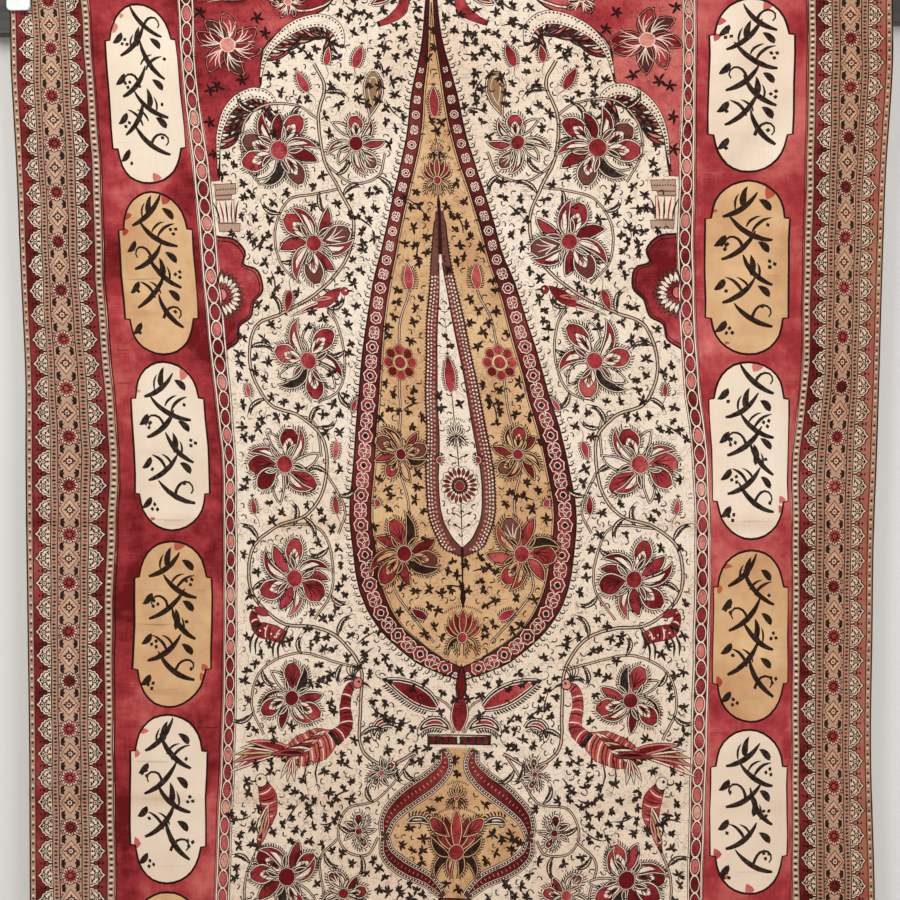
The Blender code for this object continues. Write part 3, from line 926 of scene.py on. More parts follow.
SIDE_BRANCH = ((-126, 14), (-150, -2), (-185, -8), (-240, 12), (-322, 4))
for number, side in enumerate(SIDES):
    edge = through(SPANDREL, 4)
    lobe = np.concatenate([edge, [complex(-FIELD_AT, -242), complex(-FIELD_AT, 26)]])
    area(side, lobe, (0.0, (0.86, 0.66)[number], 0.0))
    ribbon = through(SIDE_BRANCH, 6)
    stroke(side, ribbon, 5.5, (0.9, None, None))
    stroke(side, ribbon[1:-1], 1.4, CREAM)
    stroke(side, edge, 1.6, INK, taper=False)
    spandrel_flower(side.at(-280, -56, 0.3), 50, 50 + number)
    spandrel_flower(side.at(-196, 4, 0.9), 26, 52 + number)
    rng = random.Random(60 + number)
    for x, y in ((-205, 10), (-240, -16), (-300, 14), (-262, -104), (-310, -118), (-246, 20), (-316, -160),
                 (-228, -40),
                 (-318, -10), (-185, 16), (-298, -112), (-318, -205)):
        leaf = side.at(x, y, rng.uniform(0, 6.3))
        for turn in (-1.0, 0.0, 1.0, 2.3, -2.3):
            blade(leaf.at(0, 0, turn), arc([0, 0.35, 0.7, 1], rng.uniform(8, 13), 0.7),
                  [0.4, 2.1, 1.5, 0.0], INK)
    acanthus(side, [(-238, -110), (-226, -66), (-196, -36), (-156, -22), (-130, -34), (-122, -62)], 20, 50,
             -1, 70)
    acanthus(side, [(-316, -236), (-306, -182), (-284, -142), (-252, -124), (-228, -130), (-220, -152)],
             17, 50, -1, 71)
    # the capital
    for low, high, half in ((-246, -262, 17), (-262, -268, 13), (-268, -300, 14), (-300, -312, 17)):
        block = [complex(-322, low), complex(-322 + 2 * half, low), complex(-322 + 2 * half - 2, high),
                 complex(-322, high)]
        area(side, block, (0.75, 0.4, 0.2))
        inner = np.array(block) + np.array([1.2 - 1.2j, -1.2 - 1.2j, -1.2 + 1.2j, 1.2 + 1.2j])
        area(side, inner, CREAM if low == -268 else GUARD_GREY)
    for lean in range(5):
        stroke(side.at(-319 + lean * 6, -299, 1.57), arc(np.linspace(0, 1, 4), 30, 0.5 - lean * 0.25), 2.8,
               (INK, MADDER)[lean % 2])
    for lean in range(9):
        dot(side, -319 + lean * 3.6, -254, 1.4, INK, 4)
    # the half medallion
    lobes = through([(-326, -318), (-300, -322), (-284, -340), (-288, -356), (-268, -366), (-264, -392),
                     (-278, -408),
                     (-286, -430), (-304, -442), (-308, -462), (-326, -474)], 4)
    area(side, lobes, (0.0, 0.84, 0.0))
    stroke(side, lobes, 1.8, INK, taper=False)
    stroke(side, lobes * 0.93 + (-326 * 0.07 - 396j * 0.07), 0.9, INK, taper=False)
    half_rose = side.at(-326, -398)
    for reach, count, dye in ((36, 13, DUSK), (30, 11, CREAM), (19, 9, MADDER)):
        for turn in np.linspace(-1.45, 1.45, count):
            nested(half_rose.at(0, 0, turn), reach, reach * 0.3, 0, 1.5, [(0, INK), (0.9, dye)], 6)
    area(half_rose, np.append(9 * np.exp(1j * np.linspace(-1.57, 1.57, 9)), 0), INK)
    area(half_rose, np.append(7.4 * np.exp(1j * np.linspace(-1.5, 1.5, 9)), 0.5), PINK)


# --------------------------------------------------------------------------------------------------
# The vase under the cypress. Combed paisley leaves and a pointed calyx stand on a beaded collar, over a
# buff body between four broad patterned scrolls, on a small foot.

VASE_UPPER = ((-24, -1018), (-20, -1040), (-38, -1062), (-72, -1085), (-97, -1110), (-104, -1138))
VASE_LOWER = ((-104, -1138), (-98, -1162), (-72, -1182), (-40, -1198), (-16, -1220))


def scroll(spot, points, widest, low_share):
    """A broad band with a red heart and beaded edges."""
    spine = through(points, 5)
    t = np.linspace(0, 1, len(spine))
    half = widest / 2 * (low_share + (1 - low_share) * np.sin(np.pi * t) ** 0.7)
    for inset, dye in ((0, INK), (1.2, CREAM), (2.2, (0.92, 0.4, 0.3)), (6.6, CREAM), (7.3, INK),
                       (8.4, (0.4, 1.0, 0.0))):
        cut = int(inset // 5)
        span = slice(cut, len(spine) - cut)
        blade(spot, spine[span], np.maximum(half[span] - inset, 0.2), dye)
    along = np.gradient(spine)
    sideways = 1j * along / np.abs(along)
    for edge in (-1, 1):
        for place, _ in walk((spine + edge * sideways * np.maximum(half - 4.4, 0.4))[1:-1], 4.4):
            dot(spot, place.real, place.imag, 1.3, CREAM, 4)
    for place, heading in walk(spine[2:-2], 6.5):
        cross = spot.at(place.real, place.imag, heading + 1.57)
        blade(cross, np.array([-2.4, 0, 2.4]) + 0j, [0.1, 0.7, 0.1], PINK)


def paisley(spot, length, width, bend, side):
    """A curled leaf, combed along its back."""
    t = np.linspace(0, 1, 13)
    half = width / 2 * np.sin(np.pi * t**0.85) ** 0.8
    path = arc(t, length, bend)
    for inset, dye in ((0, INK), (1.5, CREAM), (2.9, INK), (5.4, CREAM), (6.6, MADDER)):
        keep = half > inset
        if keep.sum() > 3:
            blade(spot, path[keep], half[keep] - inset, dye)
    along = np.gradient(path)
    back = path - side * 1j * along / np.abs(along) * half
    comb(spot, back[2:-1], 7.5, 4.2, 0.3, 1.9, -side)
    tip = complex(path[-1])
    curl(spot.at(tip.real, tip.imag, bend), length * 0.2, side * 4.0, 1.6)


area(SHEET, np.array([-26 - 1016j, -20 - 1040j, -66 - 1085j, -100 - 1135j, -70 - 1180j, -14 - 1222j,
                      14 - 1222j, 70 - 1180j, 100 - 1135j, 66 - 1085j, 20 - 1040j, 26 - 1016j]), TAN)
for number, side in enumerate(SIDES):
    scroll(side, VASE_UPPER, 33, 0.42)
    scroll(side, VASE_LOWER, 27, 0.5)
    paisley(side.at(-74, -1120, 0.7), 42, 13, -1.6, -1)
    stem(side, through([(-6, -996), (-12, -965), (-30, -950), (-48, -944)]), 3.4)
    paisley(side.at(-26, -966, math.pi - 0.6), 100, 32, 0.3, -1)
    stem(side, through([(-9, -996), (-14, -984), (-22, -974)]), 3.0)
    paisley(side.at(-12, -996, 2.0), 66, 18, 2.6, -1)
    paisley(side.at(-92, -992, 1.9), 58, 17, 3.6, -1)
    for step in range(9):
        blade(side, [complex(-4 - step * 5, -1000.5), complex(-4 - step * 5, -1011)], 2.5,
              DEEP if step % 2 else INK)
palmette(Spot(0, -1160), 60, 81, TAN)
palmette(Spot(0, -1086), 22, 82, TAN)
for side in SIDES:
    curled_petal(side.at(-8, -1165, math.pi - 0.3), 44, 15, -1.0, random.Random(83), TAN)
    broad_petal(side.at(-8, -1140, math.pi - 0.6), 44, 22, -0.3, random.Random(84), TAN)
stroke(SHEET, [-47 - 999.5j, 47 - 999.5j], 1.3, INK, taper=False)
stroke(SHEET, [-47 - 1012j, 47 - 1012j], 1.3, INK, taper=False)
nested(Spot(0, -996, math.pi / 2), 60, 26, 0, 0.8, [(0, INK), (0.9, CREAM), (1.6, MADDER)], 10)
nested(Spot(0, -952, math.pi / 2), 50, 17, 0, 0.7, [(0, INK), (2.2, DEEP)], 8)
for low, high, half in ((-1222, -1232, 24), (-1232, -1252, 15), (-1252, -1262, 34)):
    area(SHEET, [complex(-half, low), complex(half, low), complex(half + 4, high),
                 complex(-half - 4, high)], INK)
    area(SHEET, [complex(2 - half, low - 2), complex(half - 2, low - 2), complex(half + 1, high + 2),
                 complex(-half - 1, high + 2)], DEEP if half == 24 else PINK)

# --------------------------------------------------------------------------------------------------
# The birds and beasts among the scrolls: red birds by the cypress tip, a small bird over each scroll, a
# peacock and a parrot each side of the vase, and a pair of deer.


def plumed_body(spot, points, halves, dye, bars):
    """A body, neck or tail that is barred across."""
    path = through(points, 4)
    half = np.interp(np.linspace(0, 1, len(path)), np.linspace(0, 1, len(halves)), halves)
    blade(spot, path, half, INK)
    blade(spot, path[1:-1], np.maximum(half[1:-1] - 1.0, 0.2), dye)
    for number, (place, heading) in enumerate(walk(path[1:-1], bars)):
        wide = np.interp(np.argmin(np.abs(path - place)), np.arange(len(path)), half)
        bar = spot.at(place.real, place.imag, heading + math.pi / 2)
        stroke(bar, arc(np.linspace(-1, 1, 5), wide * 0.9, 0.5), 1.3, (INK, CREAM, DEEP)[number % 3])


def long_leg(spot, x, y, reach):
    stroke(spot, [complex(x, y), complex(x - 3, y - reach * 0.5), complex(x + 1, y - reach)], 1.8)
    for toe in (-0.6, 0.2, 1.0):
        stroke(spot.at(x + 1, y - reach, -0.6 + toe), [0, 6.5], 1.2)


def peacock(spot, seed):
    """It stands with its tail out behind, its neck in an S and a crest on its head, facing +x."""
    rng = random.Random(seed)
    for number in range(5):
        feather = spot.at(-18, 2 - number * 2, math.pi + 0.25 - number * 0.14)
        nested(feather, 82 - number * 6, 15, 0.25, 0.75,
               [(0, INK), (0.9, (CREAM, PINK, TAN, CREAM, PINK)[number]),
               (2.4, (MADDER, DUSK, MADDER, INK, DEEP)[number])], 9)
    plumed_body(spot, [(-36, -10), (-14, -4), (10, 4), (28, 12)], [7, 22, 23, 9], (0.0, 0.6, 0.5), 4.2)
    for number in range(6):
        wing = spot.at(16 - number * 4, 18 - number * 5, math.pi + 0.5 - number * 0.14)
        nested(wing, 54 - number * 2, 12, 0.5, 0.8,
               [(0, INK), (0.9, (CREAM, MADDER, TAN, DEEP)[number % 4]), (2.6, (DUSK, INK)[number % 2])], 8)
    plumed_body(spot, [(24, 8), (38, 22), (36, 44), (40, 62), (52, 68)], [12, 10, 8, 7, 6], MADDER, 4.6)
    dot(spot, 50, 68, 6.2, INK, 9)
    dot(spot, 50, 68, 5.0, PINK, 9)
    dot(spot, 51, 69, 1.6, INK, 6)
    blade(spot, [54 + 68j, 60 + 66j, 66 + 61j], [2.4, 1.8, 0.0], INK)
    for number in range(5):
        curl(spot.at(46, 73, 2.7 - number * 0.35), 19, -2.2, 2.4)
    for x in (-4, 8):
        long_leg(spot, x, -10, 34)
    for number in range(3):
        nested(spot.at(-20, -8, math.pi + 0.9 + number * 0.3), 30, 8, 0.3, 0.8,
               [(0, INK), (0.9, CREAM), (2.0, MADDER)], 7)


def small_bird(spot):
    """A perched bird with a long tail, facing +x."""
    nested(spot.at(4, 0, math.pi + 0.08), 64, 9, 0.1, 0.55, [(0, INK), (0.8, CREAM), (1.6, DEEP)], 9)
    nested(spot.at(-18, -4, 0.35), 46, 17, 0.2, 0.9, [(0, INK), (0.8, MADDER)], 9)
    nested(spot.at(8, 5, math.pi - 0.1), 30, 8, 0.2, 0.8, [(0, INK), (0.7, PINK), (2.2, INK)], 7)
    dot(spot, 27, 10, 6.0, INK, 9)
    dot(spot, 27, 10, 5.0, MADDER, 9)
    dot(spot, 28.5, 11, 1.4, CREAM, 6)
    blade(spot, [31 + 10j, 36 + 9j, 40 + 6j], [1.8, 1.2, 0.0], INK)
    for x in (-2, 6):
        long_leg(spot, x, -6, 15)
    comb(spot, through([(-44, 2), (-30, 3), (-16, 6)]), 4.5, 3.6, 0.2, 1.2, 1)


def bent_bird(spot):
    """A red bird that hangs its long neck and tail from the top edge."""
    path = through([(6, 62), (8, 34), (4, 14), (-12, 0), (-30, -8)], 5)
    blade(spot, path, [4 + 4 * math.sin(math.pi * k / (len(path) - 1)) ** 2 for k in range(len(path))], INK)
    last = len(path) - 1
    swell = [3 + 4 * math.sin(math.pi * k / last) ** 2 for k in range(1, last)]
    blade(spot, path[1:-1], swell, MADDER)
    nested(spot.at(-2, 44, -2.35), 48, 20, -0.5, 0.9,
           [(0, INK), (0.8, CREAM), (2.0, INK), (3.4, CREAM), (4.2, DEEP)], 9)
    for step in range(5):
        stroke(spot.at(-6 - step * 5, 38 - step * 6, 0.5), [0, 10], 1.0)


def parrot(spot):
    """It climbs a stalk, with its round head down."""
    plumed_body(spot, [(0, 46), (10, 28), (12, 6), (4, -20), (-4, -44)], [8, 14, 12, 6, 2], MADDER, 5.6)
    dot(spot, -2, 50, 9.5, INK, 10)
    dot(spot, -2, 50, 8.3, CREAM, 10)
    dot(spot, -4, 52, 2.4, INK, 7)
    curl(spot.at(-9, 50, 3.6), 15, -3.2, 3.0)
    for number in range(3):
        nested(spot.at(12, 20 - number * 6, -1.9 + number * 0.12), 48, 9, -0.3, 0.7,
               [(0, INK), (0.9, (CREAM, TAN, PINK)[number]), (2.4, INK)], 8)
    long_leg(spot, -2, 0, 26)


def deer(spot):
    """A small spotted beast that turns its head."""
    plumed_body(spot, [(-30, 4), (-14, 8), (8, 8), (20, 12)], [9, 11, 11, 7], (0.15, 0.85, 0.2), 6.0)
    plumed_body(spot, [(16, 10), (24, 24), (20, 38)], [8, 6, 5], (0.15, 0.85, 0.2), 5.0)
    nested(spot.at(26, 36, math.pi + 0.15), 26, 12, 0.2, 0.9, [(0, INK), (0.8, MADDER)], 7)
    for lean in (1.2, 1.7):
        curl(spot.at(20, 41, lean), 20, 1.6, 1.7)
    for x in (-26, -18, 10, 18):
        stroke(spot, through([(x, 2), (x + 3, -12), (x - 1, -28)], 3), 3.6)
    curl(spot.at(-37, 8, 2.4), 16, -3.0, 1.8)
    for x, y in ((-20, 9), (-8, 6), (4, 11), (-14, 3), (10, 6)):
        dot(spot, x, y, 1.5, CREAM, 5)


LIVELY = (
    # bird or beast, x, y, turn, size, looks out
    (bent_bird, 44, -22, 0.0, 1.0, False),
    (small_bird, 168, -410, 0.18, 1.05, False),
    (peacock, 214, -1016, 0.0, 1.3, False),
    (parrot, 286, -1112, 0.0, 1.0, False),
    (deer, 286, -866, 0.2, 0.95, True),
)

# --------------------------------------------------------------------------------------------------
# The scrolls. A double-lined stem winds up each side of the cypress and throws a loop round each flower,
# with combed leaves, buds and tufts along it. It runs on below the vase towards the foot.

MAIN_STEM = ((64, -1024), (104, -1040), (140, -1016), (146, -960), (146, -908), (176, -868), (214, -852),
             (264, -846),
             (304, -808), (306, -748), (272, -716), (226, -700), (196, -660), (194, -600), (226, -566),
             (270, -548),
             (292, -500), (280, -444), (236, -424), (186, -400), (138, -356), (124, -300), (140, -254),
             (160, -216),
             (162, -160), (150, -116), (162, -84))
LOOPS = (
    ((140, -254), (176, -262), (214, -272), (236, -310), (232, -356), (206, -384)),
    ((160, -216), (150, -232), (120, -248), (84, -238), (70, -206)),
    ((162, -160), (190, -140), (236, -140), (266, -166), (276, -212), (256, -250)),
    ((186, -400), (160, -436), (150, -486), (164, -530), (198, -546)),
    ((226, -566), (204, -576), (200, -620)),
    ((272, -716), (214, -716), (192, -744), (188, -800), (214, -840)),
    ((194, -640), (170, -690), (180, -724)),
    ((146, -908), (180, -900), (240, -890), (292, -912), (304, -960), (286, -1002)),
    ((64, -1024), (96, -1066), (120, -1090), (158, -1098), (172, -1128), (160, -1156), (128, -1160),
     (112, -1140)),
    ((170, -1140), (196, -1170), (190, -1220), (206, -1258), (250, -1266), (296, -1240), (304, -1190),
     (280, -1140)),
    ((190, -1230), (160, -1290), (120, -1310), (60, -1330)),
)
FLOWERS = (
    # x, y, radius, petals
    (110, -194, 36, 8),
    (219, -202, 49, 10),
    (179, -329, 48, 9),
    (206, -490, 49, 9),
    (254, -630, 47, 10),
    (243, -786, 48, 9),
    (243, -950, 42, 9),
    (244, -1192, 46, 10),
    (140, -1130, 22, 7),
    (110, -1050, 20, 7),
    (160, -1214, 30, 8),
    (180, -1340, 46, 9),
    (70, -1372, 30, 8),
    (276, -1330, 36, 8),
)
BUDS = (
    # x, y, turn, length
    (108, -92, 1.9, 38),
    (172, -124, 1.1, 36),
    (146, -88, 1.75, 30),
    (222, -392, -1.3, 34),
    (180, -700, 1.5, 30),
    (150, -560, 2.0, 24),
    (300, -700, 1.4, 26),
    (130, -1230, 0.6, 30),
    (300, -540, 1.5, 24),
    (176, -598, -1.4, 30),
    (226, -1400, 1.6, 30),
    (120, -1420, 1.2, 30),
)


def paint_side(side, number):
    """One half of the field. Both halves follow the same plan, and no two of their flowers are alike."""
    shift = 1.0 if number else -1.0
    drift = random.Random(90 + number)
    for loop in LOOPS:
        stem(side, through([(x + drift.uniform(-2, 2), y + drift.uniform(-2, 2)) for x, y in loop], 6), 4.0)
        for number, (place, heading) in enumerate(walk(through(loop, 6), 62, 0.4)):
            way = 1 if number % 2 else -1
            combed_leaf(side.at(place.real, place.imag, heading + way * 0.7), drift.uniform(28, 36),
                        way * 1.5, way)
    stem(side, through([(x + drift.uniform(-1.5, 1.5), y) for x, y in MAIN_STEM], 6), 5.2)
    for number, (place, heading) in enumerate(walk(through(MAIN_STEM, 6), 74, 0.4)):
        way = 1 if number % 2 else -1
        combed_leaf(side.at(place.real, place.imag, heading + way * 0.7), drift.uniform(30, 40), way * 1.5,
                    way)
    nested(side.at(92, -162, 1.95), 72, 30, -0.5, 1.5,
           [(0, INK), (1.0, CREAM), (1.9, INK), (2.6, OLIVE), (5.6, CREAM), (6.3, OLIVE)], 10)
    for x, y, turn, length in BUDS:
        bud(side.at(x, y, turn), length, length * 0.44, MADDER)
        curl(side.at(x, y, turn + 2.6), 18, 1.4, 1.2)
    for order, (x, y, radius, petals) in enumerate(FLOWERS):
        flower(side.at(x + shift * drift.uniform(0, 3), y, drift.uniform(0, 1)), radius * 1.16,
               200 + 2 * order + number, petals)
    for draw, x, y, turn, size, out in LIVELY:
        spot = side.at(x, y, turn, size) if out else side.at(x, y, math.pi - turn, size, True)
        if draw is peacock:
            draw(spot, number)
        else:
            draw(spot)


for number, side in enumerate(SIDES):
    paint_side(side, number)

# Fine branches, tufts of leaves and hooks fill what is left of the cream and buff grounds.


def inside(outline, place):
    """True if the closed outline goes round this place."""
    ahead = np.roll(outline, -1) - place
    return abs(np.sum(np.angle(ahead / (outline - place)))) > 3.0


def twig(spot, rng, length):
    """A fine branch with a tuft of leaves at each fork and at its end."""
    path = arc(np.linspace(0, 1, 7), length, rng.choice((-1, 1)) * rng.uniform(0.3, 1.0))
    stroke(spot, path, 1.6)
    for number, (place, heading) in enumerate(walk(path, length / 3.0, 0.9)):
        sprig(spot.at(place.real, place.imag, heading + (-0.9, 0.9, 0.0)[number % 3]), rng, 0.85)


def fill_ground(rng, tries, gap, motif):
    for _ in range(tries):
        x = rng.uniform(10 - FIELD_AT, FIELD_AT - 10)
        y = rng.uniform(FOOT_BORDER_TOP + 40, CLOTH_TOP - 6)
        if is_free(x, y, gap) and not any(inside(outline, complex(-abs(x), y)) for outline in plain_madder):
            motif(Spot(x, y, rng.uniform(0, 2 * math.pi)), rng)


plain_madder = (lobe, lobes)
scatter = random.Random(7)
fill_ground(scatter, 5000, 14.0, lambda spot, rng: twig(spot.at(-9, 0), rng, rng.uniform(24, 32)))
fill_ground(scatter, 30000, 6.0, lambda spot, rng: sprig(spot.at(-4, 0), rng, rng.uniform(0.8, 1.1)))
fill_ground(scatter, 22000, 4.0, lambda spot, rng: curl(spot.at(-4, 0), rng.uniform(9, 13), 3.4, 2.2))

# --------------------------------------------------------------------------------------------------
# The cut of the cloth. The plain-woven cotton is cut along every printed line, so that each face holds
# one mix of dyes, and it is hung in upright strips that meet edge to edge.

STRIP_EDGES = (-HEM_AT, -BAND_AT, -GUARD_AT, -232.0, -116.0, 0.0, 116.0, 232.0, GUARD_AT, BAND_AT, HEM_AT)
STRIP_NAMES = ("border_left", "band_left", "field_far_left", "field_left", "field_mid_left",
               "field_mid_right",
               "field_right", "field_far_right", "band_right", "border_right")
SITE_STEP = 9.0
LAYERS_OF_MAP = 4


def wander(points):
    """The unsteadiness of the hand that printed and drew the cloth. The hems stay straight."""
    x, y = points.real, points.imag
    calm = smooth_step(HEM_AT - np.abs(x), 2.0, 25.0) * smooth_step(CLOTH_TOP - y, 2.0, 25.0)
    calm *= smooth_step(y - CLOTH_FOOT, 2.0, 25.0)
    slow = 1.1 * np.sin(y / 17.0 + 1.7 * np.sin(x / 29.0)) + 1.1j * np.sin(x / 19.0 + 1.7 * np.sin(y / 31.0))
    fast = np.sin(y / 3.1 + 2.0 * np.sin(x / 4.7)) + 1j * np.sin(x / 2.9 + 2.0 * np.sin(y / 5.3))
    return points + calm * (0.55 * slow + 0.22 * fast)


edge_columns = sorted(set(STRIP_EDGES))
site_columns = []
for left, right in zip(edge_columns, edge_columns[1:]):
    count = int(round((right - left) / SITE_STEP))
    site_columns += list(np.linspace(left, right, count, endpoint=False))
site_columns.append(HEM_AT)
layer_ends = np.linspace(CLOTH_TOP, CLOTH_FOOT, LAYERS_OF_MAP + 1)
site_rows = []
for high, low in zip(layer_ends, layer_ends[1:]):
    site_rows += list(np.linspace(high, low, int(round((high - low) / SITE_STEP)), endpoint=False))
site_rows.append(CLOTH_FOOT)
columns, rows = len(site_columns), len(site_rows)
sites = (np.array(site_columns)[:, None] + 1j * np.array(site_rows)[None, :]).ravel()
seams = []
for column, across in enumerate(site_columns):
    if across in edge_columns:
        seams += [(column * rows + row, column * rows + row + 1) for row in range(rows - 1)]
for row, height in enumerate(site_rows):
    if np.any(np.isclose(height, layer_ends)):
        seams += [(column * rows + row, (column + 1) * rows + row) for column in range(columns - 1)]

drawn = wander(np.concatenate(printed_points))
every_point = np.concatenate([sites, drawn])
cut_points, _, triangles, _, _, layers = delaunay_2d_cdt(
    [Vector((point.real, point.imag)) for point in every_point],
    seams,
    [[corner + len(sites) for corner in face] for face in printed_faces],
    0,
    1e-4,
    True,
)
flat = np.array(cut_points)
triangles = np.array(triangles)
owners = np.repeat(np.arange(len(triangles)), [len(layer) for layer in layers])
laid = np.fromiter((face for layer in layers for face in layer), int, len(owners))
order = np.argsort(laid, kind="stable")
middles = flat[triangles].mean(axis=1)
reaches = np.array([
    (drawn.real[face].min(), drawn.real[face].max(), drawn.imag[face].min(), drawn.imag[face].max())
    for face in printed_faces
])
held = (middles[owners, 0] > reaches[laid, 0]) & (middles[owners, 0] < reaches[laid, 1])
held &= (middles[owners, 1] > reaches[laid, 2]) & (middles[owners, 1] < reaches[laid, 3])
# a shape too thin to hold its dye would flood the cloth round it, so it is left out
spilt = np.unique(laid[~held])
order = order[~np.isin(laid[order], spilt)]
dyes = np.zeros((len(triangles), 3), np.float32)
for channel in range(3):
    strengths = np.array([np.nan if dye[channel] is None else dye[channel] for dye in printed_dyes])
    given = strengths[laid[order]]
    known = ~np.isnan(given)
    dyes[owners[order][known], channel] = given[known]

on_cloth = (np.abs(middles[:, 0]) < HEM_AT) & (middles[:, 1] < CLOTH_TOP) & (middles[:, 1] > CLOTH_FOOT)
strip_of = np.searchsorted(STRIP_EDGES, middles[:, 0]) - 1
layer_of = np.clip(((CLOTH_TOP - middles[:, 1]) / (CLOTH_TOP - CLOTH_FOOT) * LAYERS_OF_MAP).astype(int), 0,
                   LAYERS_OF_MAP - 1)


def front_normals(points):
    """The way the hung cloth faces at these flat points."""
    step = 2.0
    across = hang(points[:, 0] + step, points[:, 1]) - hang(points[:, 0] - step, points[:, 1])
    upward = hang(points[:, 0], points[:, 1] + step) - hang(points[:, 0], points[:, 1] - step)
    normals = np.cross(across, upward)
    return normals / np.linalg.norm(normals, axis=1, keepdims=True)


def hang_strip(name, number):
    """One upright strip of the cloth, with its dyes on its faces and its flat place on its points."""
    faces = np.flatnonzero(on_cloth & (strip_of == number))
    used, corners = np.unique(triangles[faces], return_inverse=True)
    corners = corners.ravel()
    points = flat[used]
    mesh = bpy.data.meshes.new(name)
    mesh.vertices.add(len(used))
    mesh.vertices.foreach_set("co", hang(points[:, 0], points[:, 1]).ravel())
    mesh.loops.add(len(corners))
    mesh.loops.foreach_set("vertex_index", corners)
    mesh.polygons.add(len(faces))
    mesh.polygons.foreach_set("loop_start", np.arange(0, len(corners), 3))
    mesh.update(calc_edges=True)
    mesh.attributes.new("dyes", "FLOAT_VECTOR", "FACE").data.foreach_set("vector", dyes[faces].ravel())
    lying = np.concatenate([points * 0.001, np.zeros((len(points), 1))], axis=1)
    mesh.attributes.new("flat_place", "FLOAT_VECTOR", "POINT").data.foreach_set("vector", lying.ravel())
    width = STRIP_EDGES[number + 1] - STRIP_EDGES[number]
    layer_height = (CLOTH_TOP - CLOTH_FOOT) / LAYERS_OF_MAP
    margin = 10.0
    side = max((width + margin) * LAYERS_OF_MAP, layer_height + margin)
    layer = np.repeat(layer_of[faces], 3)
    u = (points[corners, 0] - STRIP_EDGES[number] + margin / 2 + layer * (width + margin)) / side
    v = (layer_height + margin / 2 - (CLOTH_TOP - points[corners, 1] - layer * layer_height)) / side
    mesh.uv_layers.new(name="OFBake").uv.foreach_set("vector", np.stack([u, v], axis=-1).ravel())
    mesh.polygons.foreach_set("use_smooth", np.ones(len(faces), bool))
    mesh.normals_split_custom_set_from_vertices(front_normals(points))
    strip = bpy.data.objects.new(name, mesh)
    bpy.context.scene.collection.objects.link(strip)
    mesh.materials.append(printed_cotton)
    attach(strip, "root")
    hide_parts("panel")


def srgb(red, green, blue):
    """A colour as the eye names it, from 0 to 1, in the numbers that shaders take."""
    return tuple(c / 12.92 if c <= 0.04045 else ((c + 0.055) / 1.055) ** 2.4 for c in (red, green,
                                                                                       blue)) + (1.0,)


def new_group(name, inputs, outputs):
    """An empty shader node group, and short ways to add nodes to it and join them."""
    group = bpy.data.node_groups.new(name, "ShaderNodeTree")
    for socket, kind, value in inputs:
        made = group.interface.new_socket(socket, in_out="INPUT", socket_type=kind)
        if value is not None:
            made.default_value = value
    for socket, kind in outputs:
        group.interface.new_socket(socket, in_out="OUTPUT", socket_type=kind)
    return group


def add(tree, kind, **values):
    """A node with its settings, given by name, and its sockets, given by number after an s."""
    node = tree.nodes.new(kind)
    for key, value in values.items():
        if key[0] == "s" and key[1:].isdigit():
            if isinstance(value, bpy.types.NodeSocket):
                tree.links.new(value, node.inputs[int(key[1:])])
            else:
                node.inputs[int(key[1:])].default_value = value
        else:
            setattr(node, key, value)
    return node


def maths(tree, operation, first, second=0.0, clamp=False):
    node = add(tree, "ShaderNodeMath", operation=operation, use_clamp=clamp, s0=first, s1=second)
    return node.outputs[0]


def noise(tree, place, scale, detail=2.0, roughness=0.5, stretch=None):
    """Clouds from 0 to 1, longer one way if stretched."""
    if stretch:
        place = add(tree, "ShaderNodeVectorMath", operation="MULTIPLY", s0=place, s1=stretch).outputs[0]
    node = add(tree, "ShaderNodeTexNoise", s0=place)
    node.inputs["Scale"].default_value = scale
    node.inputs["Detail"].default_value = detail
    node.inputs["Roughness"].default_value = roughness
    return node.outputs["Fac"]


def spread(tree, value, low, high, to_low=0.0, to_high=1.0):
    """Clouds stretched to run between two values."""
    node = add(tree, "ShaderNodeMapRange", s0=value, s1=low, s2=high, s3=to_low, s4=to_high)
    return node.outputs[0]


def mixed(tree, share, first, second, blend="MIX"):
    node = tree.nodes.new("ShaderNodeMix")
    node.data_type = "RGBA"
    node.blend_type = blend
    for socket, value in ((0, share), (6, first), (7, second)):
        if isinstance(value, bpy.types.NodeSocket):
            tree.links.new(value, node.inputs[socket])
        else:
            node.inputs[socket].default_value = value
    return node.outputs[2]


def gaps(tree, value, at, half):
    """1 at a place along a line, and down to 0 at so far from it."""
    off = maths(tree, "ABSOLUTE", maths(tree, "SUBTRACT", value, at))
    return maths(tree, "SUBTRACT", 1.0, maths(tree, "DIVIDE", off, half), True)


weave = new_group("plain weave", [("Place", "NodeSocketVector", None),
                                  ("Thread", "NodeSocketFloat", 0.0006)],
                  [("Height", "NodeSocketFloat"), ("Slubs", "NodeSocketFloat")])
inlet, outlet = weave.nodes.new("NodeGroupInput"), weave.nodes.new("NodeGroupOutput")
split = add(weave, "ShaderNodeSeparateXYZ", s0=inlet.outputs["Place"])
turns = maths(weave, "DIVIDE", math.pi, inlet.outputs["Thread"])
warp = maths(weave, "SINE", maths(weave, "MULTIPLY", split.outputs[0], turns))
weft = maths(weave, "SINE", maths(weave, "MULTIPLY", split.outputs[1], turns))
crossing = maths(weave, "MULTIPLY", warp, weft)
warp_slub = noise(weave, inlet.outputs["Place"], 1.0, 3.0, 0.6, (900.0, 26.0, 1.0))
weft_slub = noise(weave, inlet.outputs["Place"], 1.0, 3.0, 0.6, (26.0, 900.0, 1.0))
slubs = maths(weave, "MULTIPLY", maths(weave, "ADD", warp_slub, weft_slub), 0.5)
weave.links.new(maths(weave, "ADD", maths(weave, "MULTIPLY", crossing, 0.18), slubs),
                outlet.inputs["Height"])
weave.links.new(slubs, outlet.inputs["Slubs"])

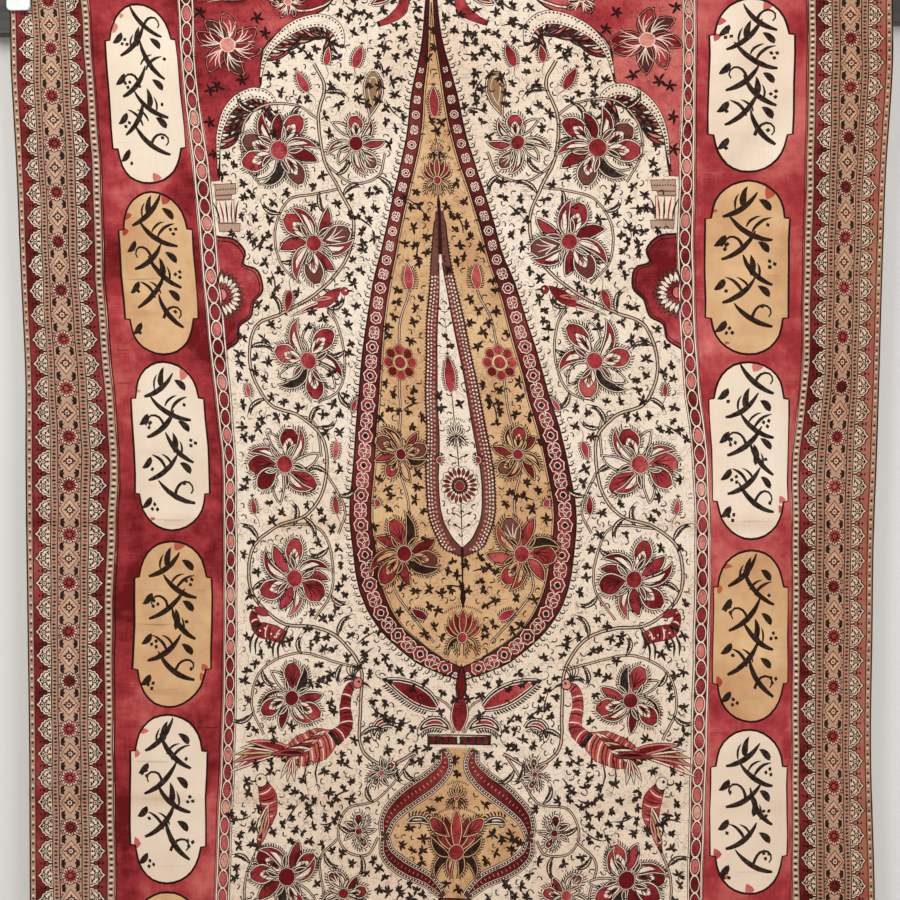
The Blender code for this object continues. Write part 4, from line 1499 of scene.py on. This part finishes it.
printed_cotton = bpy.data.materials.new("printed cotton")
printed_cotton.use_nodes = True
tree = printed_cotton.node_tree
shader = tree.nodes["Principled BSDF"]
place = add(tree, "ShaderNodeAttribute", attribute_name="flat_place").outputs["Vector"]
dye = add(tree, "ShaderNodeAttribute", attribute_name="dyes").outputs["Vector"]
reverse = add(tree, "ShaderNodeNewGeometry").outputs["Backfacing"]
through_cloth = spread(tree, reverse, 0.0, 1.0, 1.0, 0.5)
ink, madder, tan = add(tree, "ShaderNodeSeparateXYZ", s0=dye).outputs
place_x, place_y, _ = add(tree, "ShaderNodeSeparateXYZ", s0=place).outputs
threads = add(tree, "ShaderNodeGroup", node_tree=weave, s0=place)
slubs = threads.outputs["Slubs"]

# bare cotton, warmer and browner towards its borders and its foot, with old stains along the pressed folds,
# and painted shade that darkens the right border
age = noise(tree, place, 5.0, 4.0, 0.6)
bare = mixed(tree, spread(tree, age, 0.35, 0.7), srgb(0.91, 0.85, 0.78), srgb(0.86, 0.78, 0.69))
bare = mixed(tree, spread(tree, slubs, 0.35, 0.65, 0.0, 0.35), bare, srgb(0.80, 0.71, 0.61))
buff = mixed(tree, spread(tree, noise(tree, place, 11.0, 4.0, 0.65), 0.32, 0.68), srgb(0.83, 0.69, 0.52),
             srgb(0.72, 0.54, 0.38))
ground = mixed(tree, maths(tree, "MULTIPLY", tan, through_cloth), bare, buff)
# madder: thin where the brush ran dry, deep where it pooled or was laid twice
pools = noise(tree, place, 7.0, 5.0, 0.62)
dabs = noise(tree, place, 60.0, 3.0, 0.6)
uneven = maths(tree, "ADD", spread(tree, pools, 0.34, 0.66, -0.26, 0.24),
               spread(tree, dabs, 0.3, 0.7, -0.07, 0.07))
uneven = maths(tree, "ADD", uneven, spread(tree, slubs, 0.3, 0.7, 0.10, -0.10))
amount = maths(tree, "MULTIPLY", madder, maths(tree, "ADD", uneven, through_cloth))
red = tree.nodes.new("ShaderNodeValToRGB")
tree.links.new(amount, red.inputs[0])
RED_DEPTHS = ((0.0, (1.0, 1.0, 1.0, 1.0)), (0.3, (0.93, 0.62, 0.58, 1.0)), (0.55, (0.74, 0.23, 0.255, 1.0)),
              (0.78, (0.46, 0.058, 0.085, 1.0)), (1.0, (0.17, 0.009, 0.015, 1.0)))
for number, (depth, colour) in enumerate(RED_DEPTHS):
    stop = red.color_ramp.elements[number] if number < 2 else red.color_ramp.elements.new(depth)
    stop.position = depth
    stop.color = colour
dyed = mixed(tree, 1.0, ground, red.outputs[0], "MULTIPLY")
# hair lines of the pen wind about between the motifs of the field and the borders, and the red bands are
# free of them
from_middle = maths(tree, "ABSOLUTE", place_x)
penned = maths(tree, "MAXIMUM", spread(tree, from_middle, 0.340, 0.344, 1.0, 0.0),
               spread(tree, from_middle, 0.502, 0.504))
hair = 0.0
for scale, level in ((78.0, 0.44), (78.0, 0.56), (150.0, 0.5)):
    winding = noise(tree, place, scale, 0.6, 0.4)
    run = spread(tree, noise(tree, place, scale * 0.8 + level, 1.0), 0.46, 0.54)
    hair = maths(tree, "MAXIMUM", hair, maths(tree, "MULTIPLY", gaps(tree, winding, level, 0.021), run))
hair = maths(tree, "MULTIPLY", maths(tree, "MULTIPLY", hair, penned), 0.7)
ink = maths(tree, "MAXIMUM", ink, hair)
# iron black has browned, and thread tops are bare where the cloth has rubbed
rubbed = spread(tree, noise(tree, place, 160.0, 3.0, 0.7), 0.4, 0.8, 1.0, 0.93)
black = maths(tree, "MULTIPLY", maths(tree, "MULTIPLY", ink, rubbed), through_cloth)
iron = mixed(tree, noise(tree, place, 16.0, 2.0), srgb(0.09, 0.04, 0.03), srgb(0.15, 0.08, 0.06))
dyed = mixed(tree, black, dyed, iron)
# age and painted shade: browned borders, darker and browner towards the foot, painted shade that darkens the
# right border further, stains on the folds and blotches
border_age = spread(tree, maths(tree, "ABSOLUTE", place_x), 0.485, 0.515, 0.0, 0.38)
# painted shade: the right border is made darker still, as where less light reaches it
right_border_painted_shade = spread(tree, place_x, 0.47, 0.54, 0.0, 0.75)
# darker and browner towards the foot
darker_towards_foot = spread(tree, place_y, -0.55, -1.25, 0.0, 0.35)
blotch = spread(tree, noise(tree, place, 3.2, 6.0, 0.62), 0.50, 0.72, 0.0, 0.5)
stain = 0.0
for fold in PRESSED_FOLDS[1:3]:
    line = gaps(tree, place_y, fold * 0.001, 0.016)
    stain = maths(tree, "MAXIMUM", stain, maths(tree, "MULTIPLY", line, 0.45))
stain = maths(tree, "MULTIPLY", stain, spread(tree, noise(tree, place, 9.0, 4.0, 0.6), 0.4, 0.6))
age_and_painted_shade = maths(tree, "MAXIMUM", maths(tree, "MAXIMUM", border_age, right_border_painted_shade),
             maths(tree, "MAXIMUM", darker_towards_foot, blotch))
age_and_painted_shade = maths(tree, "ADD", age_and_painted_shade, stain, True)
dyed = mixed(tree, maths(tree, "MULTIPLY", age_and_painted_shade, 0.8), dyed,
             mixed(tree, 1.0, dyed, srgb(0.84, 0.72, 0.62), "MULTIPLY"))
tree.links.new(dyed, shader.inputs["Base Color"])
tree.links.new(spread(tree, slubs, 0.3, 0.7, 0.94, 0.80), shader.inputs["Roughness"])
bump = add(tree, "ShaderNodeBump")
bump.inputs["Strength"].default_value = 0.35
bump.inputs["Distance"].default_value = 0.0004
tree.links.new(threads.outputs["Height"], bump.inputs["Height"])
tree.links.new(bump.outputs[0], shader.inputs["Normal"])
shader.inputs["Specular IOR Level"].default_value = 0.1

for number, name in enumerate(STRIP_NAMES):
    hang_strip(name, number)

# --------------------------------------------------------------------------------------------------
# The rail: one planed softwood batten, stained near black, held flat to the wall behind the cloth's top
# edge.

dark_timber = bpy.data.materials.new("stained timber")
dark_timber.use_nodes = True
tree = dark_timber.node_tree
shader = tree.nodes["Principled BSDF"]
place = add(tree, "ShaderNodeTexCoord").outputs["Object"]
grain = noise(tree, place, 1.0, 6.0, 0.62, (3.0, 120.0, 120.0))
rings = noise(tree, place, 1.0, 2.0, 0.5, (0.8, 34.0, 34.0))
scuffs = spread(tree, noise(tree, place, 38.0, 5.0, 0.7), 0.60, 0.72)
wood = mixed(tree, spread(tree, grain, 0.35, 0.65), srgb(0.10, 0.075, 0.065), srgb(0.17, 0.125, 0.10))
wood = mixed(tree, spread(tree, rings, 0.45, 0.6, 0.0, 0.5), wood, srgb(0.07, 0.05, 0.045))
wood = mixed(tree, maths(tree, "MULTIPLY", scuffs, 0.35), wood, srgb(0.30, 0.24, 0.20))
tree.links.new(wood, shader.inputs["Base Color"])
tree.links.new(spread(tree, grain, 0.3, 0.7, 0.62, 0.42), shader.inputs["Roughness"])
bump = add(tree, "ShaderNodeBump")
bump.inputs["Strength"].default_value = 0.3
bump.inputs["Distance"].default_value = 0.0005
tree.links.new(grain, bump.inputs["Height"])
tree.links.new(bump.outputs[0], shader.inputs["Normal"])
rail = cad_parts["rail"]
rail.data.materials.clear()
rail.data.materials.append(dark_timber)

# --------------------------------------------------------------------------------------------------
# The five tabs: short pieces of pale greenish translucent plastic, pushed over the cloth's top edge and
# the rail.

pale_plastic = bpy.data.materials.new("pale plastic")
pale_plastic.use_nodes = True
tree = pale_plastic.node_tree
shader = tree.nodes["Principled BSDF"]
place = add(tree, "ShaderNodeTexCoord").outputs["Object"]
cloud = noise(tree, place, 90.0, 3.0, 0.6)
fine = noise(tree, place, 700.0, 3.0, 0.6)
milk = mixed(tree, spread(tree, cloud, 0.3, 0.7), srgb(0.70, 0.76, 0.73), srgb(0.82, 0.86, 0.84))
tree.links.new(milk, shader.inputs["Base Color"])
tree.links.new(spread(tree, fine, 0.3, 0.7, 0.14, 0.3), shader.inputs["Roughness"])
bump = add(tree, "ShaderNodeBump")
bump.inputs["Strength"].default_value = 0.15
bump.inputs["Distance"].default_value = 0.0003
tree.links.new(fine, bump.inputs["Height"])
tree.links.new(bump.outputs[0], shader.inputs["Normal"])
shader.inputs["Coat Weight"].default_value = 0.4
for name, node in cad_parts.items():
    if name.startswith("tab_"):
        node.data.materials.clear()
        node.data.materials.append(pale_plastic)

# --------------------------------------------------------------------------------------------------
# The room: a pale plaster wall behind the rail, a pale floor below the cloth's foot, soft light from the
# upper left and the camera.

low_corner, high_corner = (Vector(corner) for corner in cad_box)
FLOOR_DROP, WALL_GAP, ROOM = 0.17, 0.004, 9.0
floor_height = low_corner.z - FLOOR_DROP


def plane(name, corners, material):
    mesh = bpy.data.meshes.new(name)
    mesh.from_pydata(corners, [], [range(4)])
    mesh.materials.append(material)
    made = bpy.data.objects.new(name, mesh)
    bpy.context.scene.collection.objects.link(made)
    return made


def plaster(name, colour, shade, one_sided):
    material = bpy.data.materials.new(name)
    material.use_nodes = True
    tree = material.node_tree
    shader = tree.nodes["Principled BSDF"]
    place = add(tree, "ShaderNodeTexCoord").outputs["Object"]
    cloud = noise(tree, place, 2.0, 4.0, 0.6)
    tree.links.new(mixed(tree, cloud, srgb(*colour), srgb(*shade)), shader.inputs["Base Color"])
    tree.links.new(spread(tree, noise(tree, place, 60.0), 0.3, 0.7, 0.9, 0.8), shader.inputs["Roughness"])
    if one_sided:
        clear = tree.nodes.new("ShaderNodeBsdfTransparent")
        either = tree.nodes.new("ShaderNodeMixShader")
        behind = add(tree, "ShaderNodeNewGeometry").outputs["Backfacing"]
        unseen = maths(tree, "SUBTRACT", 1.0, add(tree, "ShaderNodeLightPath").outputs["Is Camera Ray"])
        tree.links.new(maths(tree, "MAXIMUM", behind, unseen), either.inputs[0])
        tree.links.new(shader.outputs[0], either.inputs[1])
        tree.links.new(clear.outputs[0], either.inputs[2])
        tree.links.new(either.outputs[0], tree.nodes["Material Output"].inputs[0])
    return material


wall_y = high_corner.y + WALL_GAP
plane("wall", [(-ROOM, wall_y, floor_height), (ROOM, wall_y, floor_height),
               (ROOM, wall_y, floor_height + ROOM),
               (-ROOM, wall_y, floor_height + ROOM)],
      plaster("wall plaster", (0.84, 0.84, 0.83), (0.82, 0.82, 0.81), True))
plane("floor", [(-ROOM, -ROOM, floor_height), (ROOM, -ROOM, floor_height), (ROOM, ROOM, floor_height),
                (-ROOM, ROOM, floor_height)],
      plaster("floor plaster", (0.80, 0.79, 0.77), (0.78, 0.77, 0.75), False))


def softbox(name, place, aim, size, power, tint):
    lamp = bpy.data.lights.new(name, "AREA")
    lamp.shape = "SQUARE"
    lamp.size = size
    lamp.energy = power
    lamp.color = tint
    made = bpy.data.objects.new(name, lamp)
    made.location = place
    made.rotation_euler = (Vector(aim) - Vector(place)).to_track_quat("-Z", "Y").to_euler()
    bpy.context.scene.collection.objects.link(made)


middle = (low_corner + high_corner) / 2
softbox("upper left softbox", (-2.2, -2.6, 1.6), middle, 2.2, 108.0, (1.0, 0.99, 0.97))
softbox("right fill", (2.6, -2.8, 0.4), middle, 2.4, 84.0, (0.97, 0.98, 1.0))
softbox("back softbox", (1.6, 3.2, 0.9), middle, 2.4, 95.0, (1.0, 0.99, 0.97))
world = bpy.data.worlds.new("soft room")
bpy.context.scene.world = world
world.use_nodes = True
world.node_tree.nodes["Background"].inputs["Color"].default_value = (0.95, 0.97, 1.0, 1.0)
world.node_tree.nodes["Background"].inputs["Strength"].default_value = 0.42

AIM, DISTANCE, TURN, LENS = Vector((0.0, -0.029, -0.611)), 2.3, math.radians(2.9), 67.6
lens = bpy.data.cameras.new("camera")
lens.lens = LENS
lens.clip_end = 50.0
camera = bpy.data.objects.new("camera", lens)
camera.location = AIM + DISTANCE * Vector((math.sin(TURN), -math.cos(TURN), 0.0))
camera.rotation_euler = (AIM - camera.location).to_track_quat("-Z", "Y").to_euler()
bpy.context.scene.collection.objects.link(camera)
bpy.context.scene.camera = camera
bpy.context.scene.view_settings.view_transform = "Standard"
